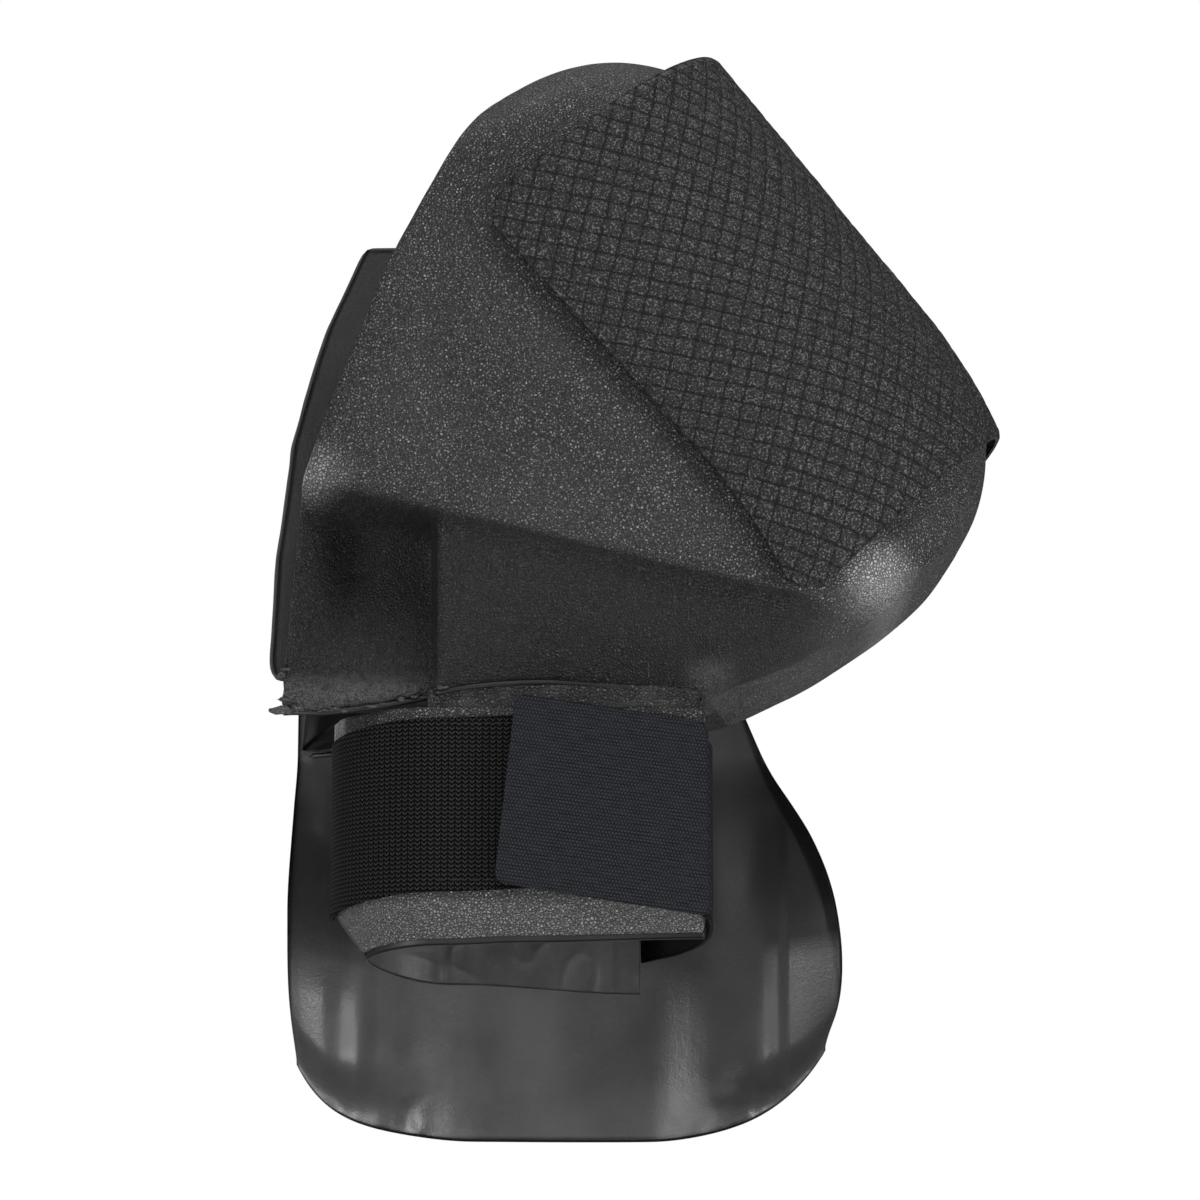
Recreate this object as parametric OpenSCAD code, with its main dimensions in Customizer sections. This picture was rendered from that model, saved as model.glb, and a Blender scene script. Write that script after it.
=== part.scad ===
// Roofer's wedge knee pad: a foam dome that covers the bent knee, a tread pad on its sloping
// face, a calf band closed by a hook-and-loop strap, and a guard sheet on the outer side.
// +X is the front of the knee, +Z runs up to the thigh, Y is the width. The origin is the
// centre of the knee.

/* [Dome] */
// Half of the dome's greatest width
dome_half_width = 85; // [80:1:90]
// Depth over which the front rounds from its middle line to its flat sides
front_rounding = 104; // [98:1:110]
// Distance of the sloping face from the knee's centre
face_offset = 143; // [141:1:144]
// Angle of the sloping face's normal above the horizontal
face_angle = 38.3; // [37:0.1:40]
// Thickness of the foam wall beside the knee
wall = 12; // [10:0.5:13]
// Depth of the hollow moulded behind the knee
hollow_depth = 20; // [14:1:22]

/* [Tread pad] */
// Thickness of the tread pad
pad_thickness = 3.2; // [2.6:0.1:3.6]
// Thickness of each of its two fastening patches
patch_thickness = 0.8; // [0.6:0.1:1]
// Where the pad starts, along the sloping face
pad_start = -62; // [-66:1:-56]
// Where the pad ends, along the sloping face
pad_end = 130; // [120:1:131]

/* [Calf band] */
// Thickness of the band's foam
band_thickness = 12; // [10:0.5:12]
// Near face of the band, from the middle of the knee
band_near = 62; // [60:0.5:62]
// Far face of the band, from the middle of the knee
band_far = 42; // [40:0.5:43]
// Front end of the band's near leg
band_front_x = 70; // [66:1:71]
// Front end of the band's far leg
wing_front_x = 46; // [42:1:48]

/* [Strap] */
// Thickness of the webbing and of its hook and loop faces
web_thickness = 1.4; // [1:0.1:1.6]
// Width of the strap
strap_width = 74; // [70:1:76]

/* [Side guard] */
// Thickness of the guard sheet
guard_thickness = 5; // [4:0.5:5.5]
// Lowest point of the guard
guard_bottom = -290; // [-294:1:-286]
// Top edge of the guard, on the outer face of the dome's far wall
guard_top = -110; // [-112:1:-109]

/* [Hidden] */
foam = [0.16, 0.16, 0.17];
foam_dark = [0.08, 0.08, 0.09];
skin = [0.22, 0.22, 0.23];
cloth = [0.05, 0.05, 0.06];
cloth_grey = [0.17, 0.18, 0.20];

// ---- curves -------------------------------------------------------------------------------
function lerp(a, b, t) = a + (b - a) * t;
function clamp01(t) = min(1, max(0, t));
function smooth(t) = let (c = clamp01(t)) c * c * (3 - 2 * c);
// Quarter ellipse: 0 at the middle line, 1 from where the side is flat
function round_in(t) = let (c = 1 - clamp01(t)) sqrt(1 - c * c);
// Catmull-Rom curve through a list of points, t from 0 to 1
function curve(points, t) =
    let (spans = len(points) - 1,
        i = min(spans - 1, floor(clamp01(t) * spans)),
        f = clamp01(t) * spans - i,
        b = points[i],
        c = points[i + 1],
        a = i > 0 ? points[i - 1] : 2 * b - c,
        d = i < spans - 1 ? points[i + 2] : 2 * c - b)
    0.5 * (2 * b + (c - a) * f + (2 * a - 5 * b + 4 * c - d) * f * f
        + (3 * b - a - 3 * c + d) * f * f * f);

// ---- dome: outer skin ---------------------------------------------------------------------
face_n = [cos(face_angle), sin(face_angle)];
face_t = [sin(face_angle), -cos(face_angle)];
face_from = -48;
face_to = 128;
face_falls_from = 70;
face_fall = 8;
rim_to = -16;
crown_line = [[2, 129], [17, 136], [36, 139], [54, 137], [69, 132], [82.5, 126.3]];
crown_rim = [[2, 129], [-9, 114], [-20, 96], [-34, 71], [-50, 41], [-64, 7]];
side_rim = [[-64, 7], [-75, -20], [-84, -46]];
crease_back = [-84, -46];
crease_front = [93, -89];
nose_line = [[185, -16], [184, -32], [180, -47], [172, -62]];
nose_crease = [[93, -89], [115, -91], [137, -86], [158, -76], [172, -62]];
bottom_edge = [[-92, -134], [-73, -133], [-45, -129], [-20, -124], [10, -122], [40, -124],
    [69, -127]];
lip_edge = [[69, -127], [106, -113], [138, -94], [160, -77], [172, -62]];
keel_line = [[81, -131], [104, -119.5], [137, -96.5], [160, -78], [172, -62]];
crown_rows = 10;
rim_rows = 4;
back_rows = 6;
front_rows = 12;
nose_rows = 7;
row_corner = crown_rows + rim_rows;
row_lip = row_corner + back_rows + 1 + front_rows;
row_last = row_lip + nose_rows;
side_cols = 10;
under_cols = 6;
lip_cols = 3;
col_crease = side_cols;
col_edge = col_crease + under_cols;
col_last = col_edge + lip_cols;
step_back = 0.275;
step_front = 0.295;

// The middle line of the sloping face, bowed in towards its lower end
function face_point(p) = let (s = max(0, p - face_falls_from) / 60)
    (face_offset - face_fall * s * s) * face_n + p * face_t;
// Share of the crease, from back to front, at a row
function crease_share(i) =
    let (k = i - row_corner)
    k <= back_rows ? step_back * k / back_rows
    : lerp(step_front, 1, (k - back_rows - 1) / front_rows);
function middle(i) =
    i <= crown_rows ? curve(crown_line, i / crown_rows)
    : i <= row_corner ? face_point(lerp(face_from, rim_to, (i - crown_rows) / rim_rows))
    : i <= row_lip ? face_point(lerp(rim_to, face_to, crease_share(i)))
    : curve(nose_line, (i - row_lip) / nose_rows);
function crease(i) =
    i <= crown_rows ? curve(crown_rim, i / crown_rows)
    : i <= row_corner ? curve(side_rim, (i - crown_rows) / rim_rows)
    : i <= row_lip ? lerp(crease_back, crease_front, crease_share(i))
    : curve(nose_crease, (i - row_lip) / nose_rows);
function edge(i) =
    i <= row_lip ? curve(bottom_edge, crease_share(i))
    : curve(lip_edge, (i - row_lip) / nose_rows);
function keel(i) = curve(keel_line, (i - row_lip) / nose_rows);
// Half width of the crown's flank, narrower towards the top of the rim
function flank(i) = i >= crown_rows ? dome_half_width
    : lerp(0.62 * dome_half_width, dome_half_width, smooth(i / (0.6 * crown_rows)));
// The sides draw in a little towards the rim
function pinch(x) = let (s = max(0, -20 - x) / 64) 7 * s * s;
function side_y(i, d) = max(0, flank(i) * round_in(d / front_rounding));
function crease_y(i) = side_y(i, norm(crease(i) - middle(i))) - pinch(crease(i)[0]);
function edge_y(i) =
    i <= row_lip ? lerp(66, 60, crease_share(i))
    : let (t = (i - row_lip) / nose_rows) 60 * sqrt(max(0, 1 - t * t)) * (1 - 0.2 * t);
// The hollow behind the knee: deep under the crease, shallow at the bottom and at the rim
function hollow(x, v) =
    hollow_depth * (x < -33.5 ? 1 : 0) * lerp(0.1, 1, smooth((x + 88) / 24))
    * smooth(v / 0.16) * lerp(1, 0.35, smooth((v - 0.3) / 0.6));

function side_point(i, j) =
    let (m = middle(i), k = crease(i), v = 1 - cos(90 * j / side_cols), p = lerp(m, k, v))
    [p[0], -max(0, side_y(i, v * norm(k - m)) - pinch(p[0]) * v), p[1]];
function under_point(i, j) =
    let (v = j / under_cols, k = crease(i), e = edge(i), p = lerp(k, e, v))
    [p[0], -(lerp(crease_y(i), edge_y(i), v) + 3 * sin(180 * v) * min(1, edge_y(i) / 60)
        - hollow(k[0], v)), p[1]];
function lip_point(i, j) =
    let (v = j / lip_cols, p = lerp(edge(i), keel(i), smooth(v) * 0.5 + v * 0.5))
    [p[0], -edge_y(i) * (1 - v), p[1]];
function skin_point(i, j) =
    j <= col_crease ? side_point(i, j)
    : j <= col_edge ? under_point(i, j - col_crease)
    : lip_point(i, j - col_edge);

// ---- dome: inner skin ---------------------------------------------------------------------
cavity_line = [[6, 120.5], [32, 129], [62, 116], [84, 88], [95, 48], [97, 4], [93, -42],
    [83, -86], [67.5, -130]];
cavity_cols = 6;
cavity_rounding = 50;
// The opening's edge, from the top of the rim round to the front of the bottom
edge_path = concat(
    [for (i = [0:row_corner]) [i, col_crease]],
    [for (j = [1:under_cols]) [row_corner, col_crease + j]],
    [for (i = [row_corner + 1:row_lip]) [i, col_edge]],
    [for (j = [1:lip_cols]) [row_lip, col_edge + j]]);
edge_last = len(edge_path) - 1;
knee_half = 66;
knee_low = 8;
calf_half = 51;
calf_low = -62;
// Half width of the cavity at a height: wide at the knee, narrow at the calf
function cavity_half(z) = lerp(calf_half, knee_half, smooth((z - calf_low) / (knee_low - calf_low)));
function cavity_edge(k) =
    let (p = skin_point(edge_path[k][0], edge_path[k][1]),
        q = clamp01(-p[1] / 60),
        move = k < edge_last / 2 ? [4.5, -14] : [-13, 1])
    [p[0] + move[0] * (1 - q), -min(max(0, -p[1] - wall * q), cavity_half(p[2])),
        p[2] + move[1] * (1 - q)];
// A point of the cavity's skin; inset moves it towards the knee
function cavity_point(k, j, inset) =
    let (t = k / edge_last, e = cavity_edge(k), rim = [e[0], e[2]],
        m = k == 0 || k == edge_last ? rim : curve(cavity_line, t),
        v = 1 - cos(90 * j / cavity_cols),
        length = norm(rim - m),
        room = e[2] > knee_low ? -e[1]
            : lerp(cavity_half(lerp(m, rim, v)[1]), -e[1], smooth(5 * v - 4)),
        y = room * round_in(v * length / max(1, min(cavity_rounding, length))),
        sideways = min(1, y / 12),
        heading = lerp(-75, -180, smooth(t / 0.35)),
        p = lerp(m, rim, v) + inset * (1 - sideways) * [cos(heading), sin(heading)])
    [p[0], -max(0, y - inset * sideways), p[1]];

// ---- dome solid ---------------------------------------------------------------------------
skin_width = col_last + 1;
skin_count = (row_last + 1) * skin_width;
cavity_width = cavity_cols + 1;
cavity_count = (edge_last + 1) * cavity_width;
function skin_id(i, j, far) =
    let (jj = i == 0 || i == row_last ? 0 : j,
        shared = jj == 0 || (jj == col_last && i >= row_lip))
    (far && !shared ? skin_count : 0) + i * skin_width + jj;
function cavity_id(k, j, far, base) =
    let (jj = k == 0 || k == edge_last ? 0 : j)
    base + (far && jj != 0 ? cavity_count : 0) + k * cavity_width + jj;
function flip(face) = [face[2], face[1], face[0]];
function turned(faces, swap) = [for (f = faces) if (f[0] != f[1] && f[1] != f[2] && f[2] != f[0])
    swap ? flip(f) : f];
function quad(a, b, c, d) = [[a, b, c], [a, c, d]];
function mirrored(points) = [for (p = points) [p[0], -p[1], p[2]]];
skin_points = [for (i = [0:row_last]) for (j = [0:col_last]) skin_point(i, j)];
function cavity_points(inset) =
    [for (k = [0:edge_last]) for (j = [0:cavity_cols]) cavity_point(k, j, inset)];
function cols_at(i) = i < row_corner ? col_crease : i < row_lip ? col_edge : col_last;
function skin_faces(far) = turned([for (i = [0:row_last - 1]) for (j = [0:cols_at(i) - 1])
    each quad(skin_id(i, j, far), skin_id(i + 1, j, far), skin_id(i + 1, j + 1, far),
        skin_id(i, j + 1, far))], far);
function cavity_faces(far, base, swap) = turned([for (k = [0:edge_last - 1])
    for (j = [0:cavity_cols - 1])
    each quad(cavity_id(k, j, far, base), cavity_id(k, j + 1, far, base),
        cavity_id(k + 1, j + 1, far, base), cavity_id(k + 1, j, far, base))], far != swap);
function rim_faces(far, base) = turned([for (k = [0:edge_last - 1])
    let (a = edge_path[k], b = edge_path[k + 1])
    each quad(skin_id(a[0], a[1], far), skin_id(b[0], b[1], far),
        cavity_id(k + 1, cavity_cols, far, base), cavity_id(k, cavity_cols, far, base))], far);
function lining_rim(far, a, b) = turned([for (k = [0:edge_last - 1])
    each quad(cavity_id(k, cavity_cols, far, a), cavity_id(k + 1, cavity_cols, far, a),
        cavity_id(k + 1, cavity_cols, far, b), cavity_id(k, cavity_cols, far, b))], far);

module dome_shell() {
    color(foam)
        polyhedron(
            concat(skin_points, mirrored(skin_points), cavity_points(0),
                mirrored(cavity_points(0))),
            concat(skin_faces(false), skin_faces(true),
                cavity_faces(false, 2 * skin_count, false), cavity_faces(true, 2 * skin_count, false),
                rim_faces(false, 2 * skin_count), rim_faces(true, 2 * skin_count)));
}

// ---- sheets and slabs ---------------------------------------------------------------------
// A closed solid between two grids of points of the same size
module slab(outer, inner, swap = false) {
    rows = len(outer);
    cols = len(outer[0]);
    base = rows * cols;
    function at(i, j) = i * cols + j;
    faces = concat(
        [for (i = [0:rows - 2]) for (j = [0:cols - 2])
            each quad(at(i, j), at(i + 1, j), at(i + 1, j + 1), at(i, j + 1))],
        [for (i = [0:rows - 2]) for (j = [0:cols - 2])
            each quad(base + at(i, j), base + at(i, j + 1), base + at(i + 1, j + 1),
                base + at(i + 1, j))],
        [for (i = [0:rows - 2]) each concat(
            quad(at(i, 0), base + at(i, 0), base + at(i + 1, 0), at(i + 1, 0)),
            quad(at(i, cols - 1), at(i + 1, cols - 1), base + at(i + 1, cols - 1),
                base + at(i, cols - 1)))],
        [for (j = [0:cols - 2]) each concat(
            quad(at(0, j), at(0, j + 1), base + at(0, j + 1), base + at(0, j)),
            quad(at(rows - 1, j), base + at(rows - 1, j), base + at(rows - 1, j + 1),
                at(rows - 1, j + 1)))]);
    polyhedron([for (r = outer) each r, for (r = inner) each r],
        swap ? [for (f = faces) flip(f)] : faces);
}

// ---- dome linings -------------------------------------------------------------------------
liner_gap = 0.4;
liner_thickness = 1;
cushion_thickness = 9;
cushion_top = 48;
cushion_low = -118;
cushion_rows = 9;
cushion_cols = 26;
cushion_back = [[-61, 48], [-75, 17], [-89, -28], [-95, -71], [-97, -113], [-96, -118]];
cushion_front = [[92, 48], [94, 4], [90, -42], [80, -86], [69, -118]];
cushion_gap = 4.6;
function at_height(line, z) =
    let (i = max([0, for (k = [0:len(line) - 2]) if (z <= line[k][1]) k]),
        a = line[i], b = line[i + 1])
    lerp(a[0], b[0], clamp01((z - a[1]) / (b[1] - a[1])));
// w runs from the near rim (-1) round the front (0) to the far rim (1)
function cushion_point(z, w, inset) =
    let (half = cavity_half(z) - cushion_gap - inset,
        front = at_height(cushion_front, z) - inset,
        turn = cavity_rounding - inset,
        s = abs(w),
        side = w < 0 ? -1 : 1)
    s < 0.5 ? [front - turn * (1 - cos(180 * s)), side * half * sin(180 * s), z]
    : [lerp(front - turn, at_height(cushion_back, z), 2 * s - 1), side * half, z];

module inner_liner() {
    base = 2 * cavity_count;
    color(foam_dark)
        polyhedron(
            concat(cavity_points(liner_gap), mirrored(cavity_points(liner_gap)),
                cavity_points(liner_gap + liner_thickness),
                mirrored(cavity_points(liner_gap + liner_thickness))),
            concat(cavity_faces(false, 0, true), cavity_faces(true, 0, true),
                cavity_faces(false, base, false), cavity_faces(true, base, false),
                lining_rim(false, 0, base), lining_rim(true, 0, base)));
}

module knee_cushion() {
    heights = [for (i = [0:cushion_rows]) lerp(cushion_top, cushion_low, i / cushion_rows)];
    ways = [for (j = [0:cushion_cols]) 2 * j / cushion_cols - 1];
    color(foam)
        slab([for (z = heights) [for (w = ways) cushion_point(z, w, 0)]],
            [for (z = heights) [for (w = ways) cushion_point(z, w, cushion_thickness)]], true);
}

// ---- tread pad on the sloping face --------------------------------------------------------
pad_skew_top = 6;
pad_skew_low = 12;
pad_flank = 16;
pad_corner = 12;
pad_gap = 0.4;
pad_turn = 0.93;
pad_half_length = 150;
// Share by which the pad's wrap shortens from its top to its low end
pad_taper = 0.06;
patch_margin = 14;
pad_rows = 14;
pad_ways = [-1, -0.985, -0.95, for (k = [-9:9]) 0.095 * k, 0.95, 0.985, 1];
// w runs across the pad from the near flank (-1) to the far flank (1)
function saddle_point(v, w, lift, margin) =
    let (s = abs(w),
        side = w < 0 ? -1 : 1,
        turn = 90 * (1 - pad_taper * v) * min(1, s / pad_turn),
        past = (pad_flank - margin) * max(0, s - pad_turn) / (1 - pad_turn),
        reach = (1 - s) * pad_half_length,
        tuck = reach < pad_corner ? pad_corner - sqrt(pad_corner * pad_corner
            - (pad_corner - reach) * (pad_corner - reach)) : 0,
        bent = 1 - cos(turn),
        p = lerp(pad_start + tuck + margin + pad_skew_top * bent,
            pad_end - tuck - margin + pad_skew_low * bent, v),
        mid = face_point(p),
        up = [cos(turn) / front_rounding, sin(turn) / dome_half_width] * lift
            / norm([cos(turn) / front_rounding, sin(turn) / dome_half_width]),
        across = mid - (front_rounding * (1 - cos(turn)) + past - up[0]) * face_n)
    [across[0], side * (dome_half_width * sin(turn) + up[1]), across[1]];

module saddle(low, thick, margin) {
    function grid(lift) = [for (i = [0:pad_rows])
        [for (w = pad_ways) saddle_point(i / pad_rows, w, lift, margin)]];
    slab(grid(low + thick), grid(low), true);
}

module pad_loop_patch() {
    color(cloth) saddle(pad_gap, patch_thickness, patch_margin);
}

module pad_hook_patch() {
    color(cloth) saddle(2 * pad_gap + patch_thickness, patch_thickness, patch_margin);
}

module grip_pad() {
    color(foam_dark) saddle(3 * pad_gap + 2 * patch_thickness, pad_thickness, 0);
}

// ---- calf band ----------------------------------------------------------------------------
fold_x = -30;
fold_reach = 44;
fold_mid = (band_far - band_near) / 2;
fold_half = (band_far + band_near) / 2;
fold_split = 0.52;
split_gap = 0.02;
edge_round = 3;
band_top = [[-1, -132], [-0.4, -132], [0, -132], [0.5, -132], [1, -143], [2, -150]];
band_low_out = [[-1, -207], [-0.3, -199], [0, -200], [0.5, -207], [1, -222], [2, -231]];
band_low_in = [[-1, -218.5], [-0.3, -220], [0, -221], [0.5, -224], [1, -230], [2, -234]];
film_gap = 0.3;
film_thickness = 0.8;
function height_at(line, u) =
    let (i = max([0, for (k = [0:len(line) - 2]) if (u >= line[k][0]) k]),
        a = line[i], b = line[i + 1])
    lerp(a[1], b[1], smooth((u - a[0]) / (b[0] - a[0])));
// u: -1 to 0 the near leg, 0 to 1 round the fold, 1 to 2 the far leg; inset from the outside
function band_plan(u, inset) =
    u < 0 ? [lerp(fold_x, band_front_x, -u), -band_near + inset]
    : u > 1 ? [lerp(fold_x, wing_front_x, u - 1), band_far - inset]
    : [fold_x - (fold_reach - inset) * sin(180 * u),
        fold_mid - (fold_half - inset) * cos(180 * u)];
function band_point(u, inset, share) =
    let (p = band_plan(u, inset),
        low = lerp(height_at(band_low_out, u), height_at(band_low_in, u),
            clamp01(inset / band_thickness)))
    [p[0], p[1], lerp(height_at(band_top, u), low, share)];
function band_grid(us, inset, rounding) =
    [for (u = us) [band_point(u, inset + rounding, 0), band_point(u, inset, 0.06),
        band_point(u, inset, 0.94), band_point(u, inset + rounding, 1)]];
near_leg = [for (k = [0:4]) -1 + 0.25 * k];
front_fold = [for (k = [1:7]) fold_split * k / 7];
wing_fold = [for (k = [0:7]) lerp(fold_split + split_gap, 1, k / 7)];
far_leg = [for (k = [1:4]) 1 + 0.25 * k];
front_us = concat(near_leg, front_fold);
wing_us = concat(wing_fold, far_leg);

module band_foam(us) {
    slab(band_grid(us, 0, edge_round), band_grid(us, band_thickness, -edge_round), true);
}

module band_film(us) {
    function row(inset) = [for (u = us) [band_point(u, inset, 0.05), band_point(u, inset, 1)]];
    slab(row(band_thickness + film_gap), row(band_thickness + film_gap + film_thickness), true);
}

module band_front() {
    color(foam) band_foam(front_us);
}

module band_wing() {
    color(skin) band_foam(wing_us);
}

module front_backing() {
    color(foam_dark) band_film(front_us);
}

module wing_backing() {
    color(foam_dark) band_film(wing_us);
}

// Web of skin that hangs the band from the dome's lower edge
module band_web() {
    web = [[-34, -127.2], [-20, -124.7], [10, -122.6], [40, -124.6], [67, -127.4],
        [67, -130.8], [-34, -130.8]];
    color(foam_dark)
        translate([0, -57, 0])
            rotate([90, 0, 0]) linear_extrude(4) polygon(web);
}

// A quilted patch on the inside of the far leg
module calf_patch() {
    color(cloth_grey)
        translate([-4, band_far - band_thickness - film_gap * 2 - film_thickness - 1.5, -212])
            cube([28, 1.5, 46]);
}

// ---- strap --------------------------------------------------------------------------------
strap_gap = 0.3;
loop_us = concat([-0.75, -0.25, 0], [for (k = [1:6]) fold_split * k / 7]);
loop_high = [[-0.6, -135], [0, -137], [0.5, -141]];
loop_low = [[-0.6, -201], [0, -203], [0.5, -209]];
hook_thickness = 1.2;
tab_outline = [[-2, -128], [71, -139], [72, -213], [-10, -200]];
hook_outline = [[1, -131], [58, -139.5], [59, -209], [-6, -198]];
stitch_size = [3, 0.4, 0.6];

module loop_panel() {
    function row(inset) = [for (u = loop_us) let (p = band_plan(u, inset))
        [[p[0], p[1], height_at(loop_high, u)], [p[0], p[1], height_at(loop_low, u)]]];
    color(cloth) slab(row(-strap_gap - web_thickness), row(-strap_gap), true);
}

module strap_sheet(outline, back, thick) {
    translate([0, -band_near - strap_gap - web_thickness - back, 0])
        rotate([90, 0, 0]) linear_extrude(thick) polygon(outline);
}

module tab_hook() {
    color(cloth) strap_sheet(hook_outline, 0.4, hook_thickness);
}

module strap_tab() {
    color(cloth_grey) strap_sheet(tab_outline, 0.6 + hook_thickness, web_thickness);
}

// Elastic part that runs from the near leg's end back to the far leg's end
module strap_return() {
    plan = [[72.6, -61], [74, -48], [73, -26], [69, -2], [61, 22], [50.5, 40]];
    function row(shift) = [for (i = [0:len(plan) - 1])
        let (t = i / (len(plan) - 1), z = -3 * sin(180 * t))
        [[plan[i][0] + shift, plan[i][1], z + lerp(-146, -151, t)],
            [plan[i][0] + shift, plan[i][1], z + lerp(-219, -224, t)]]];
    color(cloth) slab(row(web_thickness), row(0));
}

module strap_anchor() {
    color(cloth)
        translate([wing_front_x - 26, band_far + 0.3, -222]) cube([27, web_thickness, strap_width - 4]);
}

module stitch_row(from, to, count) {
    for (k = [0:count - 1])
        translate(from + (to - from) * k / max(1, count - 1)) cube(stitch_size, center = true);
}

module anchor_stitching() {
    face = band_far + 0.3 + web_thickness + 0.25;
    rows = [-156, -160, -214, -218];
    color(cloth_grey)
        for (z = rows)
            stitch_row([wing_front_x - 23, face, z], [wing_front_x - 3, face, z], 5);
}

module loop_stitching() {
    face = -band_near - strap_gap - web_thickness - 0.22;
    color(cloth_grey)
        for (z = [-139, -199])
            stitch_row([-28, face, z], [-12, face, z], 4);
}

// ---- side guard ---------------------------------------------------------------------------
guard_rows = 12;
guard_cols = 22;
guard_back = [[-94, 0], [-94, 0.42], [-92, 0.75], [-83, 1]];
guard_front = [[86, 0], [97, 0.17], [112, 0.33], [124, 0.54], [128, 0.75], [119, 1]];
guard_root_y = 76.5;
guard_hang_y = 70;
guard_curl = 34;
flute_depth = 2;
// Share of the guard that lies along the dome, before it hangs free
guard_free = 0.14;
skin_gap = 0.2;
skin_film = 0.6;
skin_margin = 2;
tongue_gap = 0.3;
function by_share(line, v) =
    let (i = max([0, for (k = [0:len(line) - 2]) if (v >= line[k][1]) k]),
        a = line[i], b = line[i + 1])
    lerp(a[0], b[0], clamp01((v - a[1]) / (b[1] - a[1])));
// v runs down the sheet, u from its back edge (-1) to its front edge (1)
function guard_y(u, v) =
    lerp(guard_root_y, guard_hang_y, smooth((v - guard_free) / 0.16))
    - guard_curl * pow(abs(u), 2.4) * smooth((v - guard_free) / 0.45)
    + flute_depth * sin(540 * (u + 1.1)) * smooth((v - guard_free) / 0.3) * (1 - pow(abs(u), 4));
function guard_point(u, v, depth) =
    let (low = guard_bottom + 26 * pow(abs(u), 6))
    [lerp(by_share(guard_back, v), by_share(guard_front, v), (u + 1) / 2),
        guard_y(u, v) + depth, lerp(guard_top, low, v)];
// Point that carries on past b, away from a
function past(a, b, more) = more == 0 ? b : b + (b - a) * more / norm(b - a);
function grown_row(r, more) = let (n = len(r))
    [past(r[1], r[0], more), for (k = [1:n - 2]) r[k], past(r[n - 2], r[n - 1], more)];

module guard_sheet(low, thick, margin) {
    function row(i, depth) = grown_row([for (j = [0:guard_cols])
        guard_point(sin(180 * j / guard_cols - 90), i / guard_rows, depth)], margin);
    function last_row(depth) = let (a = row(guard_rows - 1, depth), b = row(guard_rows, depth))
        [for (k = [0:guard_cols]) past(a[k], b[k], margin)];
    function grid(depth) = concat([for (i = [0:guard_rows - 1]) row(i, depth)],
        [last_row(depth)]);
    slab(grid(low), grid(low + thick), true);
}

module side_guard() {
    color(skin) guard_sheet(0, guard_thickness, 0);
}

module guard_skin() {
    color(foam_dark) guard_sheet(-skin_gap - skin_film, skin_film, skin_margin);
}

// Wedge that joins the guard to the outer face of the dome's far wall
module guard_tongue() {
    rows = [for (i = [row_corner + back_rows + 2:row_lip - 3]) i];
    inner = [for (i = rows) [for (j = [under_cols - 1:under_cols])
        let (p = under_point(i, j)) [p[0], tongue_gap - p[1], p[2]]]];
    outer = [for (r = inner) [for (p = r)
        [p[0], guard_root_y - skin_gap - skin_film - tongue_gap, p[2]]]];
    color(foam_dark) slab(outer, inner, true);
}

dome_shell();
inner_liner();
knee_cushion();
pad_loop_patch();
band_web();
guard_tongue();
grip_pad();
pad_hook_patch();
band_front();
front_backing();
loop_panel();
loop_stitching();
strap_return();
band_wing();
wing_backing();
calf_patch();
strap_anchor();
anchor_stitching();
strap_tab();
tab_hook();
side_guard();
guard_skin();
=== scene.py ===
"""Looks of a roofer's wedge knee pad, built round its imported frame.

Every piece is a numpy surface in millimetres, turned into metres as it becomes a mesh. The
frame's axes are: +X the front of the knee, +Y the guard's side, +Z up to the thigh.
"""

import logging
import math
from dataclasses import dataclass, field
from enum import Enum
from typing import Callable, Sequence

import bpy
import numpy as np
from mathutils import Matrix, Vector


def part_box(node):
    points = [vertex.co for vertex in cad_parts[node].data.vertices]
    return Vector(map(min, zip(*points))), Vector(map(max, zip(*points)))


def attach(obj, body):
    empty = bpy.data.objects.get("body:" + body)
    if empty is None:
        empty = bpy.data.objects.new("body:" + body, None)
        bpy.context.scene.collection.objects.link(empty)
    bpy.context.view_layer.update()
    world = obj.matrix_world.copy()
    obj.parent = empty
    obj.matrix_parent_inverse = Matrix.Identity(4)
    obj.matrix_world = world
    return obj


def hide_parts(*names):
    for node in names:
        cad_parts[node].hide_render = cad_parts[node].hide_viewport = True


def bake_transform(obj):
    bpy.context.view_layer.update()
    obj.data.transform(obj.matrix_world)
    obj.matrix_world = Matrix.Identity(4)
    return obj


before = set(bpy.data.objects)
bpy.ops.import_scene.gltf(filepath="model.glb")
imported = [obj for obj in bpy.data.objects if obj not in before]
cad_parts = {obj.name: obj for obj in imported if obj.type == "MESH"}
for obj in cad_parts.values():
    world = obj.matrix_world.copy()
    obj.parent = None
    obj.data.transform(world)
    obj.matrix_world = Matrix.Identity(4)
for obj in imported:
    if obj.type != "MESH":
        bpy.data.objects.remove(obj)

LOG = logging.getLogger("knee_pad")
MM = 0.001
Array = np.ndarray


# ---- numbers and curves ---------------------------------------------------------------------


def ease(t: Array | float) -> Array:
    """Smooth step: 0 up to t = 0, 1 from t = 1, level at both ends."""
    c = np.clip(t, 0.0, 1.0)
    return c * c * (3 - 2 * c)


def mix(a: Array | float, b: Array | float, t: Array | float) -> Array:
    """Straight blend from a (t = 0) to b (t = 1)."""
    return a + (b - a) * t


def round_in(t: Array | float) -> Array:
    """Quarter ellipse: 0 at t = 0 with an upright start, 1 and level from t = 1."""
    c = 1 - np.clip(t, 0.0, 1.0)
    return np.sqrt(np.maximum(0.0, 1 - c * c))


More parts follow.
